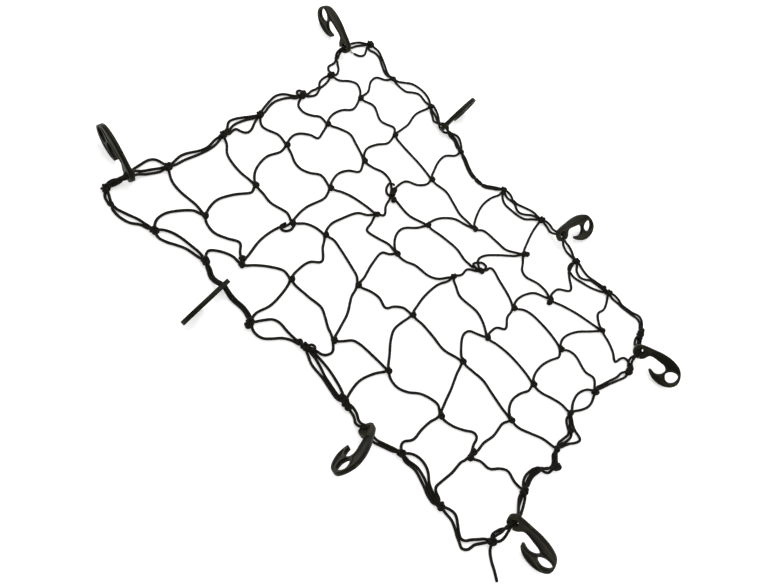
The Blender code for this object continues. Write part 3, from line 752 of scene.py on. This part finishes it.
settled = iter(settle([line for group in lines.values() for line in group]))
lines = {name: [next(settled) for _ in group] for name, group in lines.items()}
highest = max(line[:, 2].max() for group in lines.values() for line in group)
print("the highest point of a cord's middle is", round(highest, 1), "mm above the floor")

# %% [markdown]
# ## A round cord along a line
# A cord is a row of rings, skinned, with rounded ends. A curve object with a bevel would do it as
# well, but here each ring can be a little thinner or thicker than the last, as elastic cord is, and
# each corner gets the place in the braid that it belongs to: how far round the cord it is and how
# far along. That goes into a UV map, which the braid's pattern reads later.

# %% Directions across a line
SIDES = 12
RING_STEP = 1.4              # between the rings of a finished cord
END_RINGS = ((0.0, 0.35), (0.25, 0.75), (0.6, 0.96))   # (back from the end, radius) in radii
UNEVEN = 0.03                # how much thicker and thinner a cord gets, as a share of its radius
SWELLS = (6.3, 2.9)          # and the two lengths in mm that set how fast


def frames(line, closed):
    """Two unit vectors across the line at each of its points, turned as little as possible."""
    ahead = np.roll(line, -1, axis=0) - np.roll(line, 1, axis=0)
    if not closed:
        ahead[0], ahead[-1] = line[1] - line[0], line[-1] - line[-2]
    ahead /= np.linalg.norm(ahead, axis=1)[:, None]
    if closed:
        side = line - line.mean(axis=0)
        side -= (side * ahead).sum(axis=1)[:, None] * ahead
    else:
        side = np.empty_like(line)
        side[0] = np.cross(ahead[0], (0.0, 0.0, 1.0))
        for k in range(1, len(line)):
            side[k] = side[k - 1] - (side[k - 1] @ ahead[k]) * ahead[k]
            side[k] /= np.linalg.norm(side[k])
    side /= np.linalg.norm(side, axis=1)[:, None]
    return side, np.cross(ahead, side)


print("rings of", SIDES, "corners,", RING_STEP, "mm apart")


# %% The tube
def tube(line, radius, sides=SIDES, closed=False, uneven=UNEVEN):
    """Vertices, faces and face-corner UVs of a cord along a line in mm."""
    line = np.asarray(line, float)
    side, up = frames(line, closed)
    steps = np.linalg.norm(np.diff(line, axis=0), axis=1)
    along = np.concatenate([[0], np.cumsum(steps)])
    swell = np.sin(along / SWELLS[0]) * np.sin(along / SWELLS[1] + line[0, 0])
    thick = radius * (1 + uneven * swell)
    if not closed:
        for back, share in END_RINGS:
            near = np.minimum(along, along[-1] - along) <= back * radius + 1e-6
            thick[near] = np.minimum(thick[near], radius * share)
    turns = np.arange(sides) / sides * 2 * math.pi
    rings = side[:, None] * np.cos(turns)[:, None] + up[:, None] * np.sin(turns)[:, None]
    points = (line[:, None] + rings * thick[:, None, None]).reshape(-1, 3)
    faces, uvs = [], []
    around = 2 * math.pi * radius
    last = len(line) if closed else len(line) - 1
    for k in range(last):
        low, high = k * sides, (k + 1) % len(line) * sides
        end = along[k] + (steps[k] if k < len(steps) else steps.mean())
        for s in range(sides):
            t = (s + 1) % sides
            faces.append((low + s, low + t, high + t, high + s))
            uvs += [(s / sides, along[k] / around), ((s + 1) / sides, along[k] / around),
                    ((s + 1) / sides, end / around), (s / sides, end / around)]
    if not closed:
        for ring, order in ((0, -1), (len(line) - 1, 1)):
            faces.append(tuple(ring * sides + s for s in range(sides))[::order])
            uvs += [(s / sides, along[ring] / around) for s in range(sides)][::order]
    return points, faces, uvs


sample = tube([(0, 0, 0), (0, 10, 0), (0, 20, 0)], CORD_R)
print("faces of a sample of three rings:", len(sample[1]))


# %% Rounded ends, and one object from many cords
def with_ends(line, radius):
    """A cord's line with the extra points that its rounded ends need."""
    line = evenly(smooth_line([*line[:-1:2], line[-1]], RING_STEP), RING_STEP)
    first, last = line[1] - line[0], line[-1] - line[-2]
    head = [line[0] + first * (back * radius / np.linalg.norm(first)) for back, _ in END_RINGS]
    tail = [line[-1] - last * (back * radius / np.linalg.norm(last))
            for back, _ in reversed(END_RINGS)]
    return np.vstack([head, line[1:-1], tail])


def new_piece(name, mesh):
    """A piece of the net made from a mesh that has its place in it."""
    piece = bpy.data.objects.new(name, mesh)
    bpy.context.scene.collection.objects.link(piece)
    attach(piece, "root")
    return piece


def mesh_piece(name, parts):
    """One object from the vertices, faces and UVs of several cords."""
    mesh = bpy.data.meshes.new(name)
    points, faces, uvs = [], [], []
    for part_points, part_faces, part_uvs in parts:
        base = sum(len(p) for p in points)
        faces += [tuple(base + v for v in face) for face in part_faces]
        points.append(part_points)
        uvs += part_uvs
    mesh.from_pydata(world(np.vstack(points)).tolist(), [], faces)
    mesh.uv_layers.new(name="braid").data.foreach_set("uv", np.array(uvs).ravel())
    mesh.update()
    mesh.shade_smooth()
    return new_piece(name, mesh)


short = np.array([(0.0, k, 0) for k in range(20)])
print("rings in 19 mm of cord:", len(with_ends(short, CORD_R)))

# %% [markdown]
# ## Knots
# A net knot is one cord wound round the bight of another and pulled tight, so what one sees is a
# lump of two or three turns lying over each other. A torus knot is exactly that: a closed line that
# winds round a ring and through it. With three lobes it makes the small mesh knots and with five
# the larger ones in the border. Each is turned and stretched along the cord that it is tied in, so
# that no two look quite alike.

# %% The knots
KNOT_TURNS = (3.1, 1.5, 3)   # radius of the winding, half its height, lobes
BORDER_KNOT_TURNS = (4.1, 2.4, 5)
KNOT_CORD_R = 1.65           # the cord is stretched thin in a tight knot
KNOT_STRETCH = (1.12, 0.92)  # a knot is this much drawn out along its cord, and flat across it
KNOT_SIDES, RINGS_A_LOBE, KNOT_UNEVEN = 10, 20, 0.06
# Further lumps where a knot is long, or where a cord is caught again beside it.
MORE_MESH_KNOTS = [(-88, 72), (-79, 60), (163, 118), (97, 152), (-141, -155), (204, -124)]
MORE_BORDER_KNOTS = [(208, 205), (286, 196), (289, 184), (302, 132), (282, -8), (292, -62),
                     (294, -59), (52, -191), (64, -195), (-26, -180), (-268, 83), (-78, -209)]
# On the far side the border's own knots are as small as the mesh's.
SMALL_BORDER_KNOTS = set(FAR_KNOTS[:4]) | {RIGHT_KNOTS[2], RIGHT_KNOTS[3]}


def knot(place, height, turns, came=None):
    """A tied lump: a torus knot round the place, drawn out along the way that the cord came."""
    radius, rise, lobes = turns
    t = np.linspace(0, 4 * math.pi, RINGS_A_LOBE * lobes, endpoint=False)
    out = (2 + np.cos(lobes * t / 2)) / 3 * radius
    line = np.stack([out * np.cos(t), out * np.sin(t), rise * np.sin(lobes * t / 2)], axis=1)
    line[:, :2] *= KNOT_STRETCH
    way = np.subtract(came, place) if came is not None else (place[1], place[0])
    turn = math.atan2(way[1], way[0])
    cos, sin = math.cos(turn), math.sin(turn)
    line[:, :2] = line[:, :2] @ np.array([(cos, sin), (-sin, cos)])
    return tube(line + (*place, height), KNOT_CORD_R, KNOT_SIDES, closed=True, uneven=KNOT_UNEVEN)


knot_parts = {}
for name, (_, tied) in courses.items():
    knot_parts["course_" + name] = [knot(place, KNOT_HEIGHT, KNOT_TURNS, came)
                                    for place, came in tied]
for node, start, cords in BORDER:
    turns = KNOT_TURNS if start in SMALL_BORDER_KNOTS else BORDER_KNOT_TURNS
    knot_parts.setdefault(node, []).append(knot(start, BORDER_KNOT_HEIGHT, turns, cords[0][0][:2]))
for kind, height, places in (("course", KNOT_HEIGHT, MORE_MESH_KNOTS),
                             ("border", BORDER_KNOT_HEIGHT, MORE_BORDER_KNOTS)):
    for place in places:
        knot_parts[nearest_cord(place, kind)].append(knot(place, height, KNOT_TURNS))
print("knots:", sum(len(parts) for parts in knot_parts.values()))

# %% [markdown]
# ## From lines to pieces
# Every packed cord is now replaced by a finer one in the same place. A course is a free cord with
# its knots as a piece on it. A border section is one piece with all its cords and knots.

# %% Cord pieces
cord_pieces = []
for name, group in lines.items():
    fine = [with_ends(line, CORD_R) for line in group]
    tubes = [tube(line, CORD_R) for line in fine]
    tied = knot_parts.get(name, [])
    if name.startswith("border"):
        piece = mesh_piece(name.replace("border", "doubled_border"), tubes + tied)
    else:
        piece = mesh_piece(name.replace("course", "mesh_cord").replace("tail", "loose_end"),
                           tubes[:1])
        extra = tubes[1:] + tied
        with_pieces = [mesh_piece(name.replace("course", "knots"), extra)] if extra else []
        cord_pieces += with_pieces
    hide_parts(name)
    cord_pieces.append(piece)
print("cord pieces:", len(cord_pieces), "triangles:",
      sum(2 * len(piece.data.polygons) for piece in cord_pieces))

# %% [markdown]
# ## A frayed end
# One free end was cut and never sealed, so the braid has opened and the pale rubber core and its
# cotton threads stick out. A few thin threads, each a little curved, are enough. Their angles come
# from a fixed spiral and not from chance, so they are the same in every run.

# %% The frayed tip
THREADS, THREAD_LENGTH, THREAD_R = 18, 6.5, 0.22
SPIRAL_TURN = 2.399          # from one thread to the next, radians: no two lie in one direction
THREAD_STEP, THREAD_SIDES = 0.8, 5

tip = lines["tail_far"][0][-1]
tip_way = tip - lines["tail_far"][0][-4]
tip_way /= np.linalg.norm(tip_way)
tip_side = np.cross(tip_way, (0, 0, 1.0))
threads = []
for k in range(THREADS):
    angle, spread = k * SPIRAL_TURN, 0.25 + 0.55 * (k / THREADS)
    out = tip_side * math.cos(angle) + np.array((0, 0, 1.0)) * abs(math.sin(angle)) * 0.7
    reach = THREAD_LENGTH * (0.6 + 0.4 * math.sin(k * 1.7) ** 2)
    thread = [tip - tip_way + out * 0.5, tip + tip_way * reach * 0.35 + out * (0.6 + spread),
              tip + tip_way * reach * 0.7 + out * reach * spread * 0.6,
              tip + tip_way * reach * 0.9 + out * reach * spread - (0, 0, 0.4)]
    thread = smooth_line(thread, THREAD_STEP)
    thread[:, 2] = np.maximum(thread[:, 2], THREAD_R)
    threads.append(tube(thread, THREAD_R, THREAD_SIDES))
frayed = mesh_piece("frayed_threads", threads)
print("threads:", THREADS, "triangles:", 2 * len(frayed.data.polygons))

# %% [markdown]
# ## The hooks
# Each hook is one injection moulding of black plastic: a shank with a threaded eye at one end and a
# broad open bend at the other, with shallow pockets in both faces to keep the walls even, and a
# fine ridge all round where the two halves of the mould met. It could be carved from a block, but
# a flat outline given a thickness is how the mould maker drew it too, so that is the start here.
# The hook is made once, flat and in millimetres, and then copied to its eight places.

# %% A flat plate from outlines
def select_only(thing):
    """Select one object and nothing else, and make it the active one."""
    bpy.ops.object.select_all(action="DESELECT")
    thing.select_set(True)
    bpy.context.view_layer.objects.active = thing


def flat_plate(name, outlines, depth, middle=0.0):
    """A plate with straight walls from closed outlines of (along, across) places."""
    curve = bpy.data.curves.new(name, "CURVE")
    curve.dimensions, curve.fill_mode, curve.extrude = "2D", "BOTH", depth / 2
    for outline in outlines:
        spline = curve.splines.new("POLY")
        spline.points.add(len(outline) - 1)
        for point, place in zip(spline.points, outline):
            point.co = (*place, 0, 1)
        spline.use_cyclic_u = True
    plate = bpy.data.objects.new(name, curve)
    bpy.context.scene.collection.objects.link(plate)
    select_only(plate)
    bpy.ops.object.convert(target="MESH")
    plate = bpy.context.object
    bpy.ops.object.mode_set(mode="EDIT")
    bpy.ops.mesh.select_all(action="SELECT")
    bpy.ops.mesh.remove_doubles(threshold=0.01)
    bpy.ops.mesh.normals_make_consistent(inside=False)
    bpy.ops.transform.translate(value=(0, 0, middle))
    bpy.ops.object.mode_set(mode="OBJECT")
    return plate


print("plates can now be cut from outlines")


# %% The hook's blank
def finish_with(thing, kind, **settings):
    """Add one modifier to a piece and apply it."""
    select_only(thing)
    modifier = thing.modifiers.new(kind.title(), kind)
    for setting, value in settings.items():
        setattr(modifier, setting, value)
    bpy.ops.object.modifier_apply(modifier=modifier.name)


def cut(thing, cutter):
    """Cut one shape out of another, and throw the cutter away."""
    finish_with(thing, "BOOLEAN", operation="DIFFERENCE", object=cutter, solver="EXACT")
    bpy.data.objects.remove(cutter)


PLATE_STEP, POCKET_STEP = 1.6, 1.4     # spacing of the points on the finished outlines
hook_blank = flat_plate("hook_blank", [smooth_loop(HOOK_OUTLINE, PLATE_STEP),
                                       smooth_loop(HOOK_HOLE, PLATE_STEP)], HOOK_THICKNESS)
print("hook blank, mm:", [round(x, 1) for x in hook_blank.dimensions])

# %% [markdown]
# ## Eye, slit, rounded edges and pockets
# The order matters. The eye and its slit are cut first and share the large rounding of the outer
# edges. The pockets are cut afterwards, so that their rims get only the small radius of a pocket's
# edge. The bevel's angle limit leaves alone whatever is round already.

# %% Cut and round the blank
CUTTER = 20                  # deeper than the hook is thick, so that a cut goes through
EDGE_ROUND, POCKET_ROUND = 0.55, 0.2
SHARP = math.radians(50)     # edges that turn more than this are rounded
POCKET_DEPTH = 0.7
POCKETS = {
    "shank": [(22, 9.4), (24, 12.2), (37, 14.8), (52, 14.8), (64, 11.2), (70.5, 6.8), (66, 7.2),
              (58, 5.8), (54, 4.2), (48, 6.4), (38, 7.4), (25, 6.8)],
    "point": [(40, -12.9), (46, -12.6), (51, -11), (54, -8.4), (58, -11.8), (66, -13.2),
              (70.5, -12.2), (66, -15.8), (60, -17), (51, -17.4), (44, -15.6)],
}

bpy.ops.object.select_all(action="DESELECT")
bpy.ops.mesh.primitive_cylinder_add(vertices=48, radius=HOOK_EYE_D / 2, depth=CUTTER,
                                    location=(*HOOK_EYE, 0))
cut(hook_blank, bpy.context.object)
slit_turn = math.radians(HOOK_SLIT_ANGLE)
slit_way = np.array((math.cos(slit_turn), math.sin(slit_turn)))
slit_side = np.array((-slit_way[1], slit_way[0])) * HOOK_SLIT / 2
slit_end = HOOK_EYE + slit_way * HOOK_SLIT_REACH
cut(hook_blank, flat_plate("slit", [[HOOK_EYE - slit_side, slit_end - slit_side,
                                     slit_end + slit_side, HOOK_EYE + slit_side]], CUTTER))
finish_with(hook_blank, "BEVEL", width=EDGE_ROUND, segments=3, limit_method="ANGLE",
            angle_limit=SHARP)
for name, outline in POCKETS.items():
    for side in (-1, 1):
        cut(hook_blank, flat_plate(name, [smooth_loop(outline, POCKET_STEP)], 2 * POCKET_DEPTH,
                                   side * HOOK_THICKNESS / 2))
finish_with(hook_blank, "BEVEL", width=POCKET_ROUND, segments=2, limit_method="ANGLE",
            angle_limit=SHARP)
print("hook faces after rounding:", len(hook_blank.data.polygons))

# %% [markdown]
# ## The mould's parting line
# Three cuts close together round the middle of the wall give a narrow band, and pushing out only
# its middle edge makes a ridge as fine as a fingernail can feel. It catches the light like the
# real one does.

# %% The parting line
RIDGE_WIDTH, RIDGE_HEIGHT = 0.55, 0.14

select_only(hook_blank)
bpy.ops.object.mode_set(mode="EDIT")
for level in (-RIDGE_WIDTH / 2, RIDGE_WIDTH / 2, 0):
    bpy.ops.mesh.select_all(action="SELECT")
    bpy.ops.mesh.bisect(plane_co=(0, 0, level), plane_no=(0, 0, 1))
bpy.ops.transform.shrink_fatten(value=RIDGE_HEIGHT)
bpy.ops.mesh.select_all(action="SELECT")
bpy.ops.mesh.normals_make_consistent(inside=False)
bpy.ops.object.mode_set(mode="OBJECT")
bpy.ops.object.shade_smooth_by_angle(angle=math.radians(35))
print("hook size with the ridge, mm:", [round(x, 2) for x in hook_blank.dimensions])

# %% [markdown]
# ## Eight copies in their places
# Each copy has its own mesh, and its place is written into the mesh and not into the object.

# %% Place the hooks
hook_pieces = []
for name in HOOKS:
    mesh = hook_blank.data.copy()
    mesh.name = "clip_hook_" + name
    places = np.empty(len(mesh.vertices) * 3)
    mesh.vertices.foreach_get("co", places)
    from_eye = places.reshape(-1, 3) - (*HOOK_EYE, 0)
    places = from_eye @ np.array(hook_axes(name)) + hook_eye(name)
    mesh.vertices.foreach_set("co", world(places).ravel())
    mesh.update()
    piece = new_piece(mesh.name, mesh)
    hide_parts("hook_" + name)
    hook_pieces.append(piece)
bpy.data.objects.remove(hook_blank)
print("hooks:", len(hook_pieces), "triangles each:",
      sum(len(p.vertices) - 2 for p in hook_pieces[0].data.polygons))

# %% [markdown]
# ## Writing finishes as sums
# A procedural finish is a sum: where is this point in the braid, how far is it from the middle of
# its strand, how dark is it there. Sums are easier to read as expressions than as boxes and wires.
# So one small class holds a node's output, and adding or multiplying two of them adds the Math node
# that does it. Every other node comes from one method, which a few short ones give a name to.

# %% Shader sums
class Wire:
    """The output of a shader node, on which the arithmetic signs add Math nodes."""

    def __init__(self, finish, socket):
        self.finish, self.socket = finish, socket

    def math(self, operation, *values):
        """One Math node of the same finish."""
        return self.finish.node("ShaderNodeMath", {"operation": operation}, *values)

    def __add__(self, other): return self.math("ADD", self, other)
    def __sub__(self, other): return self.math("SUBTRACT", self, other)
    def __rsub__(self, other): return self.math("SUBTRACT", other, self)
    def __mul__(self, other): return self.math("MULTIPLY", self, other)
    def __pow__(self, other): return self.math("POWER", self, other)
    def __mod__(self, other): return self.math("FLOORED_MODULO", self, other)
    __radd__, __rmul__ = __add__, __mul__


print("signs that add a node:", "+ - * ** %")


# %% One finish
class Finish:
    """One material, whose constants are set on its shader's own sockets."""

    def __init__(self, name, **constants):
        self.material = bpy.data.materials.new(name)
        self.material.use_nodes = True
        self.tree = self.material.node_tree
        self.shader = self.tree.nodes["Principled BSDF"]
        self.put(self.shader, constants)

    def put(self, node, sockets):
        """Give a node's sockets, by name or number, their values or links."""
        for socket, value in sockets.items():
            target = node.inputs[socket.replace("_", " ") if isinstance(socket, str) else socket]
            if isinstance(value, Wire):
                self.tree.links.new(value.socket, target)
            else:
                target.default_value = value

    def node(self, kind, settings, *values, sockets=None, output=0):
        """Add a node of any type, set it up, fill its sockets and give back one output."""
        made = self.tree.nodes.new(kind)
        for setting, value in settings.items():
            setattr(made, setting, value)
        self.put(made, dict(enumerate(values)) | (sockets or {}))
        return Wire(self, made.outputs[output])

    def feed(self, **sockets):
        """Feed the shader what changes over the surface."""
        self.put(self.shader, sockets)

    def place(self):
        """Object coordinates, in metres."""
        return self.node("ShaderNodeTexCoord", {}, output="Object")

    def speckle(self, place, scale, detail=2.0):
        """Cloudy noise from 0 to 1, finer the larger its scale."""
        return self.node("ShaderNodeTexNoise", {}, output="Fac",
                         sockets={"Vector": place, "Scale": scale, "Detail": detail})

    def ramp(self, value, low, high, kind="LINEAR"):
        """0 below low, 1 above high, and in between a slope."""
        return self.node("ShaderNodeMapRange", {"interpolation_type": kind}, value, low, high)

    def clamped(self, first, second):
        """A product that stays between 0 and 1."""
        return self.node("ShaderNodeMath", {"operation": "MULTIPLY", "use_clamp": True},
                         first, second)

    def blend(self, share, first, second):
        """A colour between two, by a share from 0 to 1. Sockets 6 and 7 are the two colours."""
        return self.node("ShaderNodeMix", {"data_type": "RGBA"}, output=2,
                         sockets={0: share, 6: first, 7: second})

    def relief(self, height, distance, over=None):
        """A bump of so many metres, over another one if there is one."""
        sockets = {"Height": height, "Distance": distance} | ({"Normal": over} if over else {})
        return self.node("ShaderNodeBump", {}, output="Normal", sockets=sockets)


print("finishes can now be written as sums")

# %% [markdown]
# ## Braided elastic cord
# The cover is a tube braid of sixteen yarns, eight to the left and eight to the right. Counting
# along both spirals at once gives every point two numbers, and where they stand in their own yarn
# tells how high the yarn stands there. Which yarn is on top changes like the squares of a
# chessboard. The yarns are dull black polyester with a slight shine along their fibres. Their
# colour is a painted highlight, paler and olive on each yarn's crown, and painted shade, darkest in
# the grooves between yarns; patches rubbed grey and olive where the cord was handled add to it.

# %% The cord's finish
YARNS = 8                    # in each direction
BRAID_SLOPE = 0.9            # turns of a yarn in one circumference of length
BRAID_RELIEF = 0.00022       # metres
FIBRES = (14, 1.3)           # how often the fibres' noise changes across and along a yarn
RUBBED_PATCHES = 26.0        # noise scale, for metres


def braided_cord(name, dark, worn_and_crown_highlight):
    """A braided cord: dark, with painted highlight and wear in a paler colour on the crowns."""
    finish = Finish(name, Sheen_Weight=0.02, Sheen_Roughness=0.4, Sheen_Tint=(0.6, 0.58, 0.5, 1),
                    Specular_IOR_Level=0.1)
    uv = finish.node("ShaderNodeUVMap", {"uv_map": "braid"})
    around, along = (finish.node("ShaderNodeSeparateXYZ", {}, uv, output=axis) for axis in "XY")
    right = (around + along * BRAID_SLOPE) * YARNS
    left = (around - along * BRAID_SLOPE) * YARNS
    in_right, in_left = right % 1, left % 1
    on_top = finish.node("ShaderNodeMath", {"operation": "LESS_THAN"},
                         ((right - in_right) + (left - in_left)) % 2, 0.5)
    # how far across and how far along the visible bit of the upper yarn a point is, 0 to 1
    across_yarn = on_top * in_right + (1 - on_top) * in_left
    along_yarn = on_top * in_left + (1 - on_top) * in_right
    crown = across_yarn * (1 - across_yarn) * 4
    dip = along_yarn * (1 - along_yarn) * 4
    height = (crown ** 0.6) * (0.55 + dip * 0.45)
    in_yarn = finish.node("ShaderNodeCombineXYZ", {}, across_yarn * FIBRES[0],
                          along_yarn * FIBRES[1], right - in_right)
    fibres = finish.speckle(in_yarn, 1.0, 3.0)
    rubbed = finish.speckle(finish.place(), RUBBED_PATCHES, 3.0)
    wear = finish.ramp(rubbed, 0.5, 0.78, "SMOOTHSTEP")
    # painted highlight on the yarns' crowns and painted shade in the grooves, with rubbed wear on top
    crown_highlight_and_wear = finish.clamped(height * 0.5 + fibres * 0.35 + wear * 0.3, height)
    finish.feed(Base_Color=finish.blend(crown_highlight_and_wear, (*dark, 1), (*worn_and_crown_highlight, 1)),
                Roughness=0.72 - fibres * 0.22 + wear * 0.08,
                Normal=finish.relief(height + fibres * 0.22, BRAID_RELIEF))
    return finish.material


cord_finish = braided_cord("braided_black_cord", (0.003, 0.0028, 0.0022), (0.017, 0.0135, 0.007))
for piece in cord_pieces:
    piece.data.materials.append(cord_finish)
print("cord pieces dressed:", len(cord_pieces))

# %% [markdown]
# ## Bare threads
# The frayed tip shows rubber and undyed cotton, so it is pale, with a little dirt in it.

# %% The threads' finish
cotton = Finish("undyed_threads", Roughness=0.9, Sheen_Weight=0.3)
dirt = cotton.speckle(cotton.place(), 900.0)
fluff = cotton.speckle(cotton.place(), 4000.0)
cotton.feed(Base_Color=cotton.blend(dirt, (0.30, 0.27, 0.20, 1), (0.62, 0.60, 0.52, 1)),
            Normal=cotton.relief(fluff, 0.0001))
frayed.data.materials.append(cotton.material)
print("threads dressed")

# %% [markdown]
# ## Moulded black plastic
# The hooks are black nylon with a satin skin. It shows three things at three sizes: the fine grain
# of the mould, slow waves where the plastic shrank as it cooled, and edges painted paler and olive,
# partly as rubbing by use and partly as a painted highlight along them. Pointiness tells how sharply
# the surface turns at a corner of the mesh, so it finds those edges.

# %% The hooks' finish
GRAIN, SHRINK, SCUFFS = 2600.0, 70.0, 420.0     # noise scales, for metres
GRAIN_RELIEF, SHRINK_RELIEF = 0.00003, 0.00025  # metres
CORE, SKIN = (0.0015, 0.0015, 0.001, 1), (0.0042, 0.004, 0.0024, 1)
RUBBED_EDGE_AND_HIGHLIGHT = (0.034, 0.031, 0.016, 1)
plastic = Finish("satin_black_plastic", Specular_IOR_Level=0.11, IOR=1.5,
                 Specular_Tint=(1.0, 0.96, 0.72, 1))
grain = plastic.speckle(plastic.place(), GRAIN)
shrink = plastic.speckle(plastic.place(), SHRINK, 1.0)
scuffs = plastic.speckle(plastic.place(), SCUFFS, 4.0)
pointiness = plastic.node("ShaderNodeNewGeometry", {}, output="Pointiness")
# painted highlight and wear: sharp edges get a paler olive colour, partly rubbing, partly highlight
rubbed = plastic.clamped(plastic.ramp(pointiness, 0.505, 0.56), 0.35 + scuffs * 0.9)
plastic.feed(Base_Color=plastic.blend(rubbed, plastic.blend(shrink, CORE, SKIN), RUBBED_EDGE_AND_HIGHLIGHT),
             Roughness=0.4 + scuffs * 0.1 + shrink * 0.04,
             Normal=plastic.relief(grain, GRAIN_RELIEF, plastic.relief(shrink, SHRINK_RELIEF)))
for piece in hook_pieces:
    piece.data.materials.append(plastic.material)
print("hooks dressed:", len(hook_pieces))
